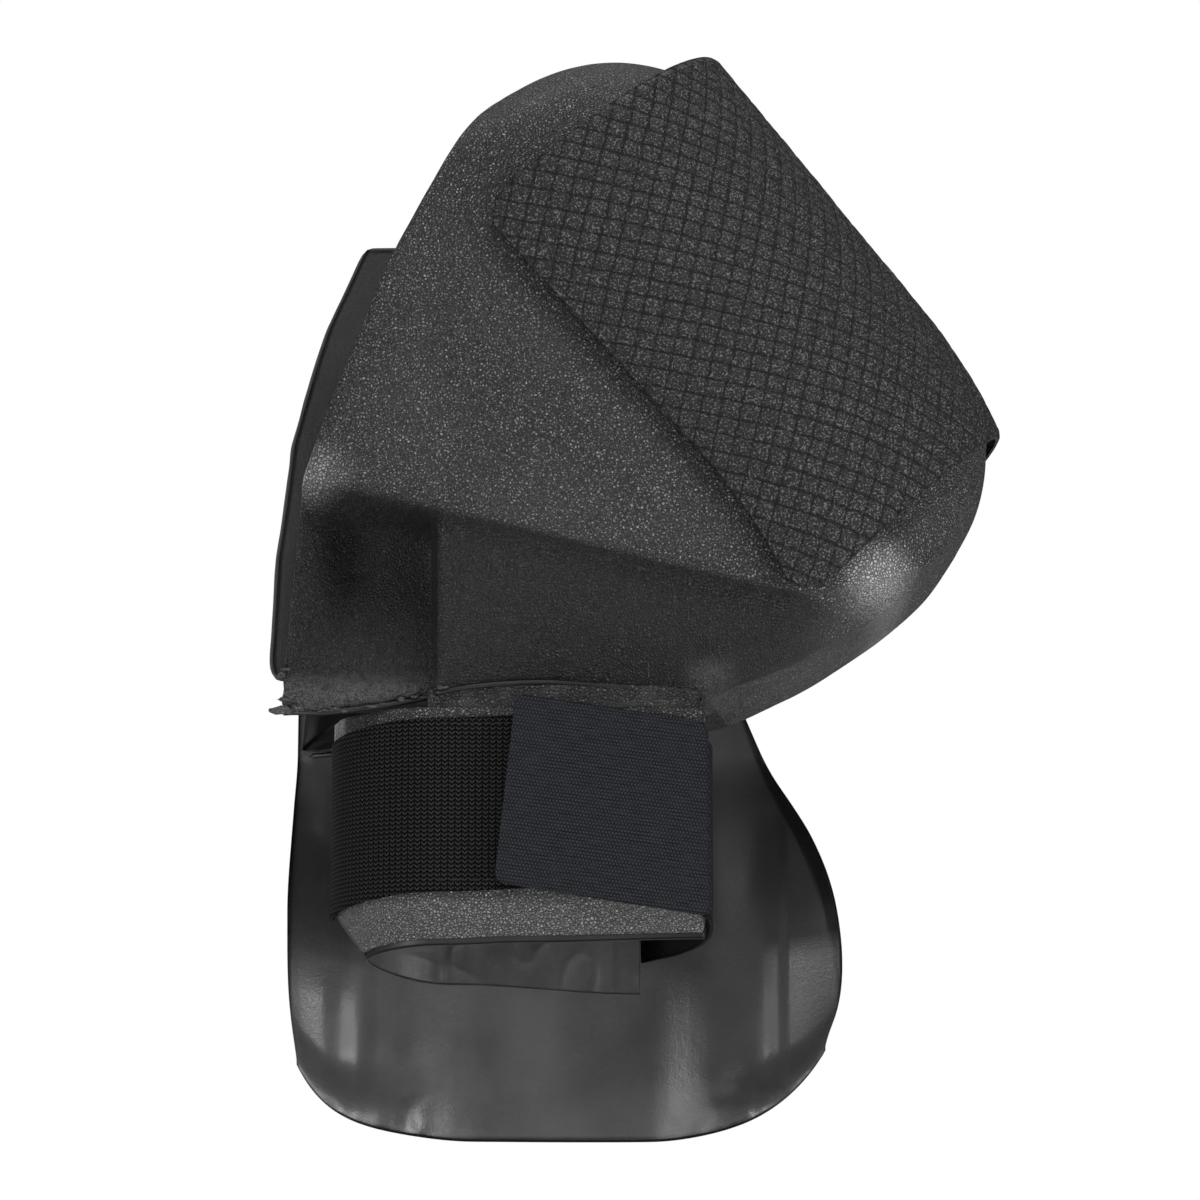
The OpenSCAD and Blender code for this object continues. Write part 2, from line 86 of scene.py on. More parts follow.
def curve(points: Sequence[Sequence[float]], t: Array) -> Array:
    """Catmull-Rom curve through points.

    Args:
        points: the points it passes, each of the same number of values.
        t: where to read it, 0 at the first point and 1 at the last.

    Returns:
        One row per value of t. Between points b and c with neighbours a and d the value is the
        cubic that leaves b along c - a and reaches c along d - b.
    """
    p = np.asarray(points, float)
    ends = np.vstack([2 * p[0] - p[1], p, 2 * p[-1] - p[-2]])
    spans = len(p) - 1
    where = np.clip(np.asarray(t, float), 0, 1) * spans
    i = np.minimum(where.astype(int), spans - 1)
    f = (where - i)[..., None]
    a, b, c, d = ends[i], ends[i + 1], ends[i + 2], ends[i + 3]
    return 0.5 * (2 * b + (c - a) * f + (2 * a - 5 * b + 4 * c - d) * f**2
                  + (3 * b - a - 3 * c + d) * f**3)


def table_value(line: Sequence[Sequence[float]], x: Array, eased: bool = False) -> Array:
    """Value of a broken line of (place, value) pairs at x, straight or eased between them.

    Args:
        line: (place, value) pairs in order of place.
        x: where to read it.
        eased: True for a smooth step between pairs, False for straight lines.

    Returns:
        One value for each x; past an end it is the end's value.
    """
    places = np.array([p[0] for p in line], float)
    values = np.array([p[1] for p in line], float)
    i = np.clip(np.searchsorted(places, x, side="right") - 1, 0, len(places) - 2)
    t = np.clip((x - places[i]) / (places[i + 1] - places[i]), 0, 1)
    return mix(values[i], values[i + 1], ease(t) if eased else t)


def noise(points: Array, size: float, seed: int) -> Array:
    """Smooth value noise from -1 to 1.

    Args:
        points: (..., 3) places in millimetres.
        size: length of one noise cell in millimetres.
        seed: picks the pattern.

    Returns:
        One value per point: random values at the corners of a cubic lattice, blended with an
        ease along each axis. The corner values come from a sine hash of the corner's numbers.
    """
    p = np.asarray(points, float) / size
    base = np.floor(p)
    f = ease(p - base)
    total = np.zeros(p.shape[:-1])
    for corner in range(8):
        bit = np.array([corner & 1, corner >> 1 & 1, corner >> 2 & 1])
        key = (base + bit) @ np.array([127.1, 311.7, 74.7]) + seed * 53.3
        value = np.abs(np.sin(key) * 43758.5453) % 1.0
        weight = np.prod(np.where(bit == 1, f, 1 - f), axis=-1)
        total += weight * (2 * value - 1)
    return total


def unit(v: Array) -> Array:
    """Each row of v with length 1."""
    return v / np.maximum(np.linalg.norm(v, axis=-1, keepdims=True), 1e-9)


# ---- meshes ---------------------------------------------------------------------------------


@dataclass
class Surface:
    """Points and faces gathered before they become one mesh.

    Each patch is a grid of points; welding joins patches that share a border.
    """

    points: list[Array] = field(default_factory=list)
    quads: list[Array] = field(default_factory=list)
    uvs: list[Array] = field(default_factory=list)
    count: int = 0

    def patch(self, grid: Array, uv: Array | None = None) -> "Surface":
        """Adds a grid of points as a patch of quads.

        Args:
            grid: (rows, columns, 3) points in millimetres.
            uv: (rows, columns, 2) pattern coordinates in millimetres, or None.

        Returns:
            This surface, so that calls can follow each other.
        """
        rows, cols = grid.shape[:2]
        ids = np.arange(rows * cols).reshape(rows, cols) + self.count
        faces = np.stack([ids[:-1, :-1], ids[1:, :-1], ids[1:, 1:], ids[:-1, 1:]], -1)
        self.points.append(grid.reshape(-1, 3))
        self.quads.append(faces.reshape(-1, 4))
        self.uvs.append(np.zeros((rows * cols, 2)) if uv is None else uv.reshape(-1, 2))
        self.count += rows * cols
        return self

    def mirrored(self) -> "Surface":
        """This surface joined with its image on the far side of the middle plane.

        Returns:
            A new surface; the far half is wound the other way, so both face outwards.
        """
        both = Surface(list(self.points), list(self.quads), list(self.uvs), self.count)
        for points, quads, uvs in zip(self.points, self.quads, self.uvs):
            both.points.append(points * np.array([1, -1, 1]))
            both.quads.append(quads[:, ::-1] + self.count)
            both.uvs.append(uvs)
            both.count += len(points)
        return both

    def welded(self) -> tuple[Array, Array, Array]:
        """Points, quads and uvs with points that lie together merged into one.

        Returns:
            The points left, each quad's point numbers, and each quad's four uvs.
        """
        points = np.vstack(self.points)
        quads = np.vstack(self.quads)
        uvs = np.vstack(self.uvs)
        keys = np.round(points * 200).astype(np.int64)
        keys[:, 1][np.abs(keys[:, 1]) <= 1] = 0
        _, first, back = np.unique(keys, axis=0, return_index=True, return_inverse=True)
        return points[first], back.reshape(-1)[quads], uvs[quads]


def relax(points: Array, quads: Array, steps: int, pull: float = 0.5) -> Array:
    """Rounds creases: each step moves every point part of the way to its neighbours' middle.

    Args:
        points: (n, 3) points.
        quads: (m, 4) point numbers.
        steps: how many times to move every point.
        pull: share of the way moved in one step.

    Returns:
        The moved points.
    """
    pairs = np.vstack([quads[:, [k, (k + 1) % 4]] for k in range(4)])
    pairs = pairs[pairs[:, 0] != pairs[:, 1]]
    pairs = np.vstack([pairs, pairs[:, ::-1]])
    degree = np.bincount(pairs[:, 0], minlength=len(points))[:, None]
    for _ in range(steps):
        total = np.zeros_like(points)
        for axis in range(3):
            total[:, axis] = np.bincount(pairs[:, 0], points[pairs[:, 1], axis], len(points))
        points = points + pull * (total / np.maximum(degree, 1) - points)
    return points


def point_normals(points: Array, quads: Array) -> Array:
    """Outward direction at each point: the sum of its faces' area vectors, made unit.

    Args:
        points: (n, 3) points.
        quads: (m, 4) point numbers.

    Returns:
        (n, 3) unit vectors; a quad's area vector is half the cross product of its diagonals.
    """
    area = np.cross(points[quads[:, 2]] - points[quads[:, 0]],
                    points[quads[:, 3]] - points[quads[:, 1]])
    total = np.zeros_like(points)
    for k in range(4):
        for axis in range(3):
            total[:, axis] += np.bincount(quads[:, k], area[:, axis], len(points))
    return unit(total)


def turned_outward(points: Array, quads: Array, corner_uv: Array) -> tuple[Array, Array]:
    """Quads and their uvs, wound so that the closed surface holds a positive volume.

    Args:
        points: (n, 3) points.
        quads: (m, 4) point numbers.
        corner_uv: (m, 4, 2) pattern coordinates.

    Returns:
        The quads and uvs, reversed where the sum of the faces' signed volumes is negative.
    """
    a, b, c, d = (points[quads[:, k]] for k in range(4))
    volume = np.sum(np.cross(a, b) * c) + np.sum(np.cross(a, c) * d)
    if volume < 0:
        return quads[:, ::-1], corner_uv[:, ::-1]
    return quads, corner_uv


Push = Callable[[Array], Array]


def make_piece(name: str, surface: Surface, rounding: int = 0, push: Push | None = None,
               material: bpy.types.Material | None = None,
               marks: dict[str, Push] | None = None) -> bpy.types.Object:
    """Welds a surface, rounds it, pushes it along its normals and makes it an object.

    Args:
        name: the piece's name.
        surface: its patches, in millimetres.
        rounding: how many rounding steps the creases get.
        push: gives each point's move along its normal, in millimetres.
        material: its finish.
        marks: named values per point that the finish reads, each worked out from the points.

    Returns:
        The new object, at the origin, in metres.
    """
    points, quads, corner_uv = surface.welded()
    quads, corner_uv = turned_outward(points, quads, corner_uv)
    rest = points
    if rounding:
        points = relax(points, quads, rounding)
    if push is not None:
        points = points + point_normals(points, quads) * push(points)[:, None]
    keep = np.ones((len(quads), 4), bool)
    for k in range(4):
        keep[:, k] = quads[:, k] != quads[:, (k + 1) % 4]
    sides = keep.sum(1)
    whole = sides >= 3
    keep, sides = keep[whole], sides[whole]
    loops = quads[whole][keep]
    mesh = bpy.data.meshes.new(name)
    mesh.vertices.add(len(points))
    mesh.vertices.foreach_set("co", (points * MM).astype(np.float32).ravel())
    mesh.loops.add(len(loops))
    mesh.loops.foreach_set("vertex_index", loops.astype(np.int32))
    mesh.polygons.add(len(sides))
    starts = np.concatenate([[0], np.cumsum(sides)[:-1]])
    mesh.polygons.foreach_set("loop_start", starts.astype(np.int32))
    layer = mesh.uv_layers.new(name="UVMap")
    mesh.update(calc_edges=True)
    mesh.validate()
    if len(mesh.loops) == len(loops):
        layer = mesh.uv_layers["UVMap"]
        layer.data.foreach_set("uv", (corner_uv[whole][keep] * MM).astype(np.float32).ravel())
    mesh.shade_smooth()
    for mark, worked_out in (marks or {}).items():
        values = mesh.attributes.new(mark, "FLOAT", "POINT")
        values.data.foreach_set("value", worked_out(rest).astype(np.float32))
    piece = bpy.data.objects.new(name, mesh)
    bpy.context.scene.collection.objects.link(piece)
    if material is not None:
        mesh.materials.append(material)
    LOG.info("%s: %d faces", name, len(mesh.polygons))
    return piece


def slab(outer: Array, inner: Array, bulge: float = 0.0, steps: int = 4,
         uv: Array | None = None) -> Surface:
    """Closed sheet between two grids, its edges rounded.

    Args:
        outer: (rows, columns, 3) points of one face.
        inner: the same for the other face.
        bulge: how far the edges stand out, in millimetres.
        steps: faces across an edge.
        uv: pattern coordinates of both faces.

    Returns:
        The surface: two faces and an edge strip round them, where each strip point is a straight
        blend of the two faces' border points plus bulge times a half sine, away from the sheet.
    """
    made = Surface().patch(outer, uv).patch(inner[:, ::-1], None if uv is None else uv[:, ::-1])

    def border(g: Array) -> Array:
        """Border points of a grid in order, the first one again at the end."""
        return np.vstack([g[0], g[1:, -1], g[-1, -2::-1], g[-2:0:-1, 0], g[:1, 0]])

    def inward(g: Array) -> Array:
        """The point next to each border point on the inside."""
        return np.vstack([g[1], g[1:, -2], g[-2, -2::-1], g[-2:0:-1, 1], g[1:2, 0]])

    a, b = border(outer), border(inner)
    out = unit(unit(a - inward(outer)) + unit(b - inward(inner)))
    t = np.linspace(0, 1, steps + 1)[None, :, None]
    strip = mix(a[:, None], b[:, None], t) + bulge * np.sin(np.pi * t) * out[:, None]
    strip_uv = None if uv is None else np.repeat(border(np.dstack([uv, uv[..., :1]]))[:, None, :2],
                                                 steps + 1, axis=1)
    return made.patch(strip[:, ::-1], strip_uv)


def tube(path: Array, radius: Array | float, sides: int = 10) -> Surface:
    """Round rope along a path, its ends drawn in to points.

    Args:
        path: (n, 3) points it follows.
        radius: its radius at each point, or one for all.
        sides: points round it.

    Returns:
        The surface: at each path point a circle square to the path.
    """
    ahead = unit(np.gradient(path, axis=0))
    helper = np.where(np.abs(ahead[:, 2:3]) < 0.9, [[0.0, 0.0, 1.0]], [[1.0, 0.0, 0.0]])
    side = unit(np.cross(ahead, helper))
    up = np.cross(side, ahead)
    turn = np.linspace(0, 2 * np.pi, sides + 1)
    wide = np.broadcast_to(np.asarray(radius, float), len(path)).copy()
    wide[[0, -1]] = 0
    ring = side[:, None] * np.cos(turn)[None, :, None] + up[:, None] * np.sin(turn)[None, :, None]
    return Surface().patch(path[:, None] + ring * wide[:, None, None])


# ---- finishes -------------------------------------------------------------------------------


class Slot(Enum):
    """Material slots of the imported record."""

    DOME = "dome_foam"
    CUSHION = "cushion_foam"
    BAND = "band_foam"
    TREAD = "tread_foam"
    FILM = "black_film"
    SATIN = "satin_skin"
    LOOP = "loop_pile"
    HOOK = "hook_tape"
    CLOTH = "tab_cloth"
    ELASTIC = "elastic_web"
    THREAD = "thread"


class Wiring:
    """A material's nodes, added and joined in few words. Sizes are in millimetres."""

    def __init__(self, name: str) -> None:
        """Starts an empty material of that name.

        Args:
            name: the material's name.
        """
        self.material = bpy.data.materials.new(name)
        self.material.use_nodes = True
        self.tree = self.material.node_tree
        self.tree.nodes.clear()
        self.place = self.add("ShaderNodeTexCoord").outputs["Object"]
        self.flat = self.add("ShaderNodeTexCoord").outputs["UV"]

    def add(self, kind: str, **settings: object) -> bpy.types.Node:
        """Adds a node of that kind with those settings.

        Args:
            kind: the node's type name.
            settings: the node's properties by name.

        Returns:
            The new node.
        """
        made = self.tree.nodes.new(kind)
        for name, value in settings.items():
            setattr(made, name, value)
        return made

    def feed(self, socket: bpy.types.NodeSocket, value: object) -> None:
        """Links a socket to a node's output, or sets it to a plain value.

        Args:
            socket: the input to fill.
            value: an output socket, or a number or colour.
        """
        if isinstance(value, bpy.types.NodeSocket):
            self.tree.links.new(value, socket)
        else:
            socket.default_value = value

    def math(self, operation: str, *values: object) -> bpy.types.NodeSocket:
        """Result of a sum on its values.

        Args:
            operation: the name of the sum.
            values: what goes in, in order.

        Returns:
            The result.
        """
        made = self.add("ShaderNodeMath", operation=operation)
        for socket, value in zip(made.inputs, values):
            self.feed(socket, value)
        return made.outputs[0]

    def scaled(self, source: bpy.types.NodeSocket, size: Sequence[float],
               turn: float = 0.0) -> bpy.types.NodeSocket:
        """Coordinates turned about Z by turn degrees, then counted in cells of that size.

        Args:
            source: the coordinates.
            size: a cell's length along each axis.
            turn: turn about Z.

        Returns:
            The new coordinates.
        """
        turned = self.add("ShaderNodeMapping", vector_type="POINT")
        turned.inputs["Rotation"].default_value = (0, 0, math.radians(turn))
        self.feed(turned.inputs["Vector"], source)
        made = self.add("ShaderNodeMapping", vector_type="POINT")
        made.inputs["Scale"].default_value = tuple(1 / (s * MM) for s in size)
        self.feed(made.inputs["Vector"], turned.outputs[0])
        return made.outputs[0]

    def noise(self, source: bpy.types.NodeSocket, size: float, detail: float = 2.0,
              stretch: Sequence[float] = (1, 1, 1)) -> bpy.types.NodeSocket:
        """Soft noise from 0 to 1 whose cells are size times stretch.

        Args:
            source: the coordinates.
            size: a cell's length.
            detail: how many finer layers are added.
            stretch: how much longer a cell is along each axis.

        Returns:
            The noise.
        """
        made = self.add("ShaderNodeTexNoise")
        made.inputs["Scale"].default_value = 1.0
        made.inputs["Detail"].default_value = detail
        self.feed(made.inputs["Vector"], self.scaled(source, [size * s for s in stretch]))
        return made.outputs["Fac"]

    def cells(self, source: bpy.types.NodeSocket, size: float,
              feature: str = "F1") -> bpy.types.NodeSocket:
        """Distance within rounded cells of that size: 0 at a cell's middle.

        Args:
            source: the coordinates.
            size: a cell's length.
            feature: which distance, to the cell's middle or to its edge.

        Returns:
            The distance, in cells.
        """
        made = self.add("ShaderNodeTexVoronoi", feature=feature)
        made.inputs["Scale"].default_value = 1.0
        self.feed(made.inputs["Vector"], self.scaled(source, [size] * 3))
        return made.outputs["Distance"]

    def ramp(self, value: object, low: float, high: float, to_low: float = 0.0,
             to_high: float = 1.0) -> bpy.types.NodeSocket:
        """Value eased from to_low at low to to_high at high.

        Args:
            value: what is read.
            low: value at which the ramp starts.
            high: value at which it ends.
            to_low: result at low.
            to_high: result at high.

        Returns:
            The eased result.
        """
        made = self.add("ShaderNodeMapRange", interpolation_type="SMOOTHSTEP")
        for name, number in (("From Min", low), ("From Max", high), ("To Min", to_low),
                             ("To Max", to_high)):
            made.inputs[name].default_value = number
        self.feed(made.inputs["Value"], value)
        return made.outputs["Result"]

    def shade(self, factor: object, dark: Sequence[float],
              light: Sequence[float]) -> bpy.types.NodeSocket:
        """Colour between dark, at factor 0, and light, at factor 1.

        Args:
            factor: 0 to 1.
            dark: colour or socket at 0.
            light: colour or socket at 1.

        Returns:
            The mixed colour.
        """
        made = self.add("ShaderNodeMix", data_type="RGBA")
        self.feed(made.inputs[0], factor)
        self.feed(made.inputs[6], (*dark, 1) if not isinstance(dark, bpy.types.NodeSocket) else dark)
        self.feed(made.inputs[7],
                  (*light, 1) if not isinstance(light, bpy.types.NodeSocket) else light)
        return made.outputs[2]

    def mark(self, name: str) -> bpy.types.NodeSocket:
        """A named value that the mesh carries at each point."""
        return self.add("ShaderNodeAttribute", attribute_name=name).outputs["Fac"]

    def bump(self, height: bpy.types.NodeSocket, depth: float,
             under: bpy.types.NodeSocket | None = None) -> bpy.types.NodeSocket:
        """Normal of a surface that height raises by up to depth millimetres.

        Args:
            height: 0 to 1, or a little past it.
            depth: rise in millimetres for a height of 1.
            under: normal to start from, or None for the plain surface.

        Returns:
            The new normal.
        """
        made = self.add("ShaderNodeBump")
        made.inputs["Distance"].default_value = depth * MM
        made.inputs["Strength"].default_value = 1.0
        self.feed(made.inputs["Height"], height)
        if under is not None:
            self.feed(made.inputs["Normal"], under)
        return made.outputs[0]

    def finish(self, color: object, roughness: object, normal: bpy.types.NodeSocket | None,
               sheen: float, gloss: float) -> bpy.types.Material:
        """Ends the material in one shader.

        Args:
            color: base colour or a socket.
            roughness: a number or a socket.
            normal: the bumped normal, or None.
            sheen: weight of the sheen.
            gloss: specular level.

        Returns:
            The material.
        """
        shader = self.add("ShaderNodeBsdfPrincipled")
        self.feed(shader.inputs["Base Color"],
                  color if isinstance(color, bpy.types.NodeSocket) else (*color, 1))
        self.feed(shader.inputs["Roughness"], roughness)
        shader.inputs["Specular IOR Level"].default_value = gloss
        shader.inputs["Sheen Weight"].default_value = sheen
        shader.inputs["Sheen Roughness"].default_value = 0.5
        if normal is not None:
            self.feed(shader.inputs["Normal"], normal)
        self.tree.links.new(shader.outputs[0], self.add("ShaderNodeOutputMaterial").inputs[0])
        return self.material


@dataclass(frozen=True)
class Finish:
    """Base of every finish: its slot, its two end colours and how it shines."""

    slot: Slot
    dark: tuple[float, float, float]
    light: tuple[float, float, float]
    roughness: float = 0.6
    sheen: float = 0.0
    gloss: float = 0.4

    def made(self) -> bpy.types.Material:
        """The finish's material, made on the first call and shared after it."""
        name = f"{self.slot.value}_{self.light[0]:.4f}"
        return bpy.data.materials.get(name) or self.build(Wiring(name))

    def build(self, w: Wiring) -> bpy.types.Material:
        """Joins the finish's nodes; each finish has its own."""
        raise NotImplementedError


@dataclass(frozen=True)
class GrainedFoam(Finish):
    """Moulded foam skin: pebbles, blotches, torn places, and painted glints, shade and highlights."""

    pebble: float = 1.5
    depth: float = 0.14

    def build(self, w: Wiring) -> bpy.types.Material:
        """Pebbles are rounded cells; a blotch noise moves the colour; torn places go coarse.

        Args:
            w: the empty material to wire.

        Returns:
            The finished material.
        """
        torn, painted_under_shade, polish_and_highlight = w.mark("torn"), w.mark("under"), w.mark("polish_highlight")
        pebbles = w.ramp(w.cells(w.place, self.pebble, "DISTANCE_TO_EDGE"), 0.0, 0.30)
        fine = w.noise(w.place, self.pebble * 0.6, 2.0)
        coarse = w.noise(w.place, 2.2, 3.0)
        blotch = w.ramp(w.noise(w.place, 38.0, 3.0), 0.3, 0.7)
        height = w.math("ADD", pebbles, w.math("MULTIPLY", fine, 1.1))
        skin = w.bump(height, self.depth)
        rough = w.bump(w.math("MULTIPLY", coarse, torn), 2.2, skin)
        # Painted glints: sparse bright specks on the pebble tops, put into the colour.
        painted_glint = w.math("MULTIPLY", w.ramp(fine, 0.53, 0.66), pebbles)
        tone = w.math("ADD", w.math("MULTIPLY", blotch, 0.03),
                      w.math("ADD", w.math("MULTIPLY", pebbles, 0.13), painted_glint))
        color = w.shade(tone, self.dark, self.light)
        # Painted shade: the underside below the crease is darkened towards a fifth of the dark colour.
        with_painted_shade = w.shade(w.math("MULTIPLY", painted_under_shade, 0.88), color, tuple(0.2 * c for c in self.dark))
        # Painted highlight: the colour is lightened where the crease and the band's bevel are marked;
        # the same mark lowers the roughness below.
        painted_highlight = w.shade(w.math("MULTIPLY", polish_and_highlight, w.math("ADD", 0.15, pebbles)), with_painted_shade,
                         tuple(1.5 * c for c in self.light))
        bare = w.shade(w.math("MULTIPLY", torn, coarse), painted_highlight, tuple(0.4 * c for c in self.light))
        shine = w.ramp(w.noise(w.place, 12.0, 2.0), 0.2, 0.8, self.roughness - 0.05,
                       self.roughness + 0.06)
        worn = w.math("SUBTRACT", shine, w.math("MULTIPLY", polish_and_highlight, 0.17))
        return w.finish(bare, worn, rough, self.sheen, self.gloss)


@dataclass(frozen=True)
class CutFoam(Finish):
    """Foam cut from a block: grained faces and an edge with a paler core and open cells."""

    def build(self, w: Wiring) -> bpy.types.Material:
        """The mark named core is 1 along the middle of a cut edge.

        Args:
            w: the empty material to wire.

        Returns:
            The finished material.
        """
        core = w.mark("core")
        cells = w.cells(w.place, 0.9)
        streak = w.noise(w.place, 1.4, 2.0, (1, 1, 9))
        tone = w.math("ADD", w.math("MULTIPLY", cells, 0.5), w.math("MULTIPLY", streak, 0.5))
        color = w.shade(core, w.shade(tone, self.dark, self.light),
                        w.shade(streak, self.light, tuple(2.6 * c for c in self.light)))
        normal = w.bump(tone, 0.3)
        return w.finish(color, self.roughness, normal, self.sheen, self.gloss)


@dataclass(frozen=True)
class PillowFoam(Finish):
    """Tread foam: fine specks and painted glints on the pillows; painted shade and more roughness in
    the grooves.
    """

    row_angle: float = 38.7
    row_pitch: float = 7.2
    cross_pitch: float = 6.9

    def build(self, w: Wiring) -> bpy.types.Material:
        """A pillow's top is 1 at a cell's middle and 0 in its grooves, on the unrolled pad.

        Args:
            w: the empty material to wire.

        Returns:
            The finished material.
        """
        split = w.add("ShaderNodeSeparateXYZ")
        w.feed(split.inputs[0],
               w.scaled(w.flat, (self.row_pitch, self.cross_pitch, 1), -self.row_angle))
        stray = w.noise(w.place, 2.6, 2.0)
        across = w.math("ADD", split.outputs[0], w.math("MULTIPLY", stray, 0.30))
        down = w.math("ADD", split.outputs[1], w.math("MULTIPLY", w.noise(w.place, 3.1, 2.0), 0.24))
        a = w.ramp(w.math("PINGPONG", w.math("SUBTRACT", across, 0.15), 0.5), 0.38, 0.5, 1.0, 0.0)
        b = w.ramp(w.math("PINGPONG", w.math("SUBTRACT", down, 0.12), 0.5), 0.36, 0.49, 1.0, 0.0)
        top = w.math("MULTIPLY", w.math("ADD", w.math("MULTIPLY", a, 0.8), 0.2),
                     w.math("ADD", w.math("MULTIPLY", b, 0.8), 0.2))
        speck = w.noise(w.place, 0.75, 2.0)
        grain = w.cells(w.place, 0.9)
        # Painted shade: the colour darkens into the grooves, where top falls to 0.
        tone = w.math("MULTIPLY", top, w.math("ADD", 0.2, w.math("MULTIPLY", speck, 0.9)))
        color = w.shade(tone, self.dark, self.light)
        # Painted glints: sparse bright specks on the pillow tops, put into the colour.
        pale = w.shade(w.math("MULTIPLY", w.ramp(speck, 0.53, 0.66), top), color,
                       tuple(10 * c for c in self.light))
        height = w.math("ADD", w.math("MULTIPLY", speck, 0.9), w.math("MULTIPLY", grain, 0.6))
        normal = w.bump(top, 0.35, w.bump(height, 0.5))
        return w.finish(pale, w.ramp(top, 0, 1, 0.8, self.roughness), normal, self.sheen,
                        self.gloss)


@dataclass(frozen=True)
class SatinSkin(Finish):
    """Smooth skin over foam: long soft creases, faint scuffs, and a darker edge."""

    crease: float = 0.5

    def build(self, w: Wiring) -> bpy.types.Material:
        """Creases run down the skin; the mark named rim is 1 along the sheet's edge.

        Args:
            w: the empty material to wire.

        Returns:
            The finished material.
        """
        rim = w.mark("rim")
        long = w.noise(w.place, 5.0, 3.0, (1, 1, 9))
        cross = w.noise(w.place, 2.0, 2.0, (1.6, 1, 1))
        scuff = w.noise(w.place, 26.0, 5.0)
        fine = w.noise(w.place, 0.6, 1.0)
        normal = w.bump(long, self.crease, w.bump(w.math("ADD", cross, fine), 0.07))
        tone = w.ramp(w.math("ADD", w.math("MULTIPLY", scuff, 0.7), w.math("MULTIPLY", cross, 0.3)),
                      0.3, 0.7)
        color = w.shade(rim, w.shade(tone, self.dark, self.light), (0.012, 0.012, 0.013))
        return w.finish(color, w.ramp(scuff, 0.3, 0.7, self.roughness - 0.07, self.roughness + 0.07),
                        normal, self.sheen, self.gloss)


@dataclass(frozen=True)
class Pile(Finish):
    """Loop pile knitted in upright columns of small chevrons."""

    column: float = 2.6
    chevron: float = 1.7

    def build(self, w: Wiring) -> bpy.types.Material:
        """Across a column the yarn runs up then down: a wave on v plus a folded u.

        Args:
            w: the empty material to wire.

        Returns:
            The finished material.
        """
        split = w.add("ShaderNodeSeparateXYZ")
        w.feed(split.inputs[0], w.scaled(w.flat, (self.column, self.chevron, 1)))
        fold = w.math("PINGPONG", split.outputs[0], 0.5)
        wave = w.math("PINGPONG", w.math("ADD", split.outputs[1], w.math("MULTIPLY", fold, 1.3)), 0.5)
        edge = w.ramp(fold, 0.0, 0.12)
        yarn = w.math("MULTIPLY", w.ramp(wave, 0.08, 0.4), edge)
        fuzz = w.noise(w.place, 0.5, 2.0)
        height = w.math("ADD", yarn, w.math("MULTIPLY", fuzz, 0.6))
        color = w.shade(w.ramp(height, 0.45, 1.3), self.dark, self.light)
        return w.finish(color, self.roughness, w.bump(height, 0.6), self.sheen, self.gloss)


@dataclass(frozen=True)
class Weave(Finish):
    """Cloth or webbing: threads over and under, with a faint difference from thread to thread."""

    thread: float = 0.55
    rib: float = 1.0
    depth: float = 0.12

    def build(self, w: Wiring) -> bpy.types.Material:
        """Two folded waves at right angles, one shifted half a thread on every other row.

        Args:
            w: the empty material to wire.

        Returns:
            The finished material.
        """
        split = w.add("ShaderNodeSeparateXYZ")
        w.feed(split.inputs[0], w.scaled(w.flat, (self.thread, self.thread * self.rib, 1)))
        row = w.math("MULTIPLY", w.math("FLOORED_MODULO", w.math("FLOOR", split.outputs[1]), 2.0), 0.5)
        over = w.math("PINGPONG", w.math("ADD", split.outputs[0], row), 0.5)
        across = w.math("PINGPONG", split.outputs[1], 0.5)
        bump = w.math("MULTIPLY", w.ramp(over, 0.0, 0.4), w.ramp(across, 0.0, 0.3))
        slub = w.noise(w.flat, 1.2, 3.0, (6, 0.7, 1))
        tone = w.math("ADD", w.math("MULTIPLY", bump, 0.8),
                      w.math("MULTIPLY", w.ramp(slub, 0.35, 0.65), 0.25))
        return w.finish(w.shade(tone, self.dark, self.light), self.roughness,
                        w.bump(tone, self.depth), self.sheen, self.gloss)


@dataclass(frozen=True)
class HookField(Finish):
    """Hook tape: rows of tiny stiff hooks."""

    pitch: float = 1.5

    def build(self, w: Wiring) -> bpy.types.Material:
        """A hook stands at the middle of each cell of a square field.

        Args:
            w: the empty material to wire.

        Returns:
            The finished material.
        """
        split = w.add("ShaderNodeSeparateXYZ")
        w.feed(split.inputs[0], w.scaled(w.flat, (self.pitch, self.pitch * 0.8, 1)))
        a = w.math("PINGPONG", split.outputs[0], 0.5)
        b = w.math("PINGPONG", split.outputs[1], 0.5)
        hook = w.ramp(w.math("MULTIPLY", a, b), 0.04, 0.16)
        return w.finish(w.shade(hook, self.dark, self.light), self.roughness,
                        w.bump(hook, 0.5), self.sheen, self.gloss)


DOME_FINISH = GrainedFoam(Slot.DOME, (0.003, 0.003, 0.0031), (0.240, 0.240, 0.241), 0.46,
                          gloss=0.30, pebble=1.25, depth=0.40)
BAND_FINISH = GrainedFoam(Slot.BAND, (0.004, 0.004, 0.0041), (0.270, 0.270, 0.271), 0.46,
                          gloss=0.32, pebble=1.2, depth=0.40)
CUSHION_FINISH = CutFoam(Slot.CUSHION, (0.006, 0.006, 0.0065), (0.030, 0.030, 0.031), 0.75)
TREAD_FINISH = PillowFoam(Slot.TREAD, (0.0015, 0.0015, 0.0016), (0.010, 0.010, 0.0101), 0.5,
                          gloss=0.24)
FILM_FINISH = SatinSkin(Slot.FILM, (0.005, 0.005, 0.0055), (0.009, 0.009, 0.010), 0.4, crease=0.1)
SATIN_FINISH = SatinSkin(Slot.SATIN, (0.050, 0.050, 0.0515), (0.062, 0.062, 0.0638), 0.36, gloss=0.5,
                         crease=0.10)
LINING_FINISH = SatinSkin(Slot.SATIN, (0.036, 0.036, 0.037), (0.056, 0.056, 0.0572), 0.48,
                          gloss=0.4, crease=0.3)
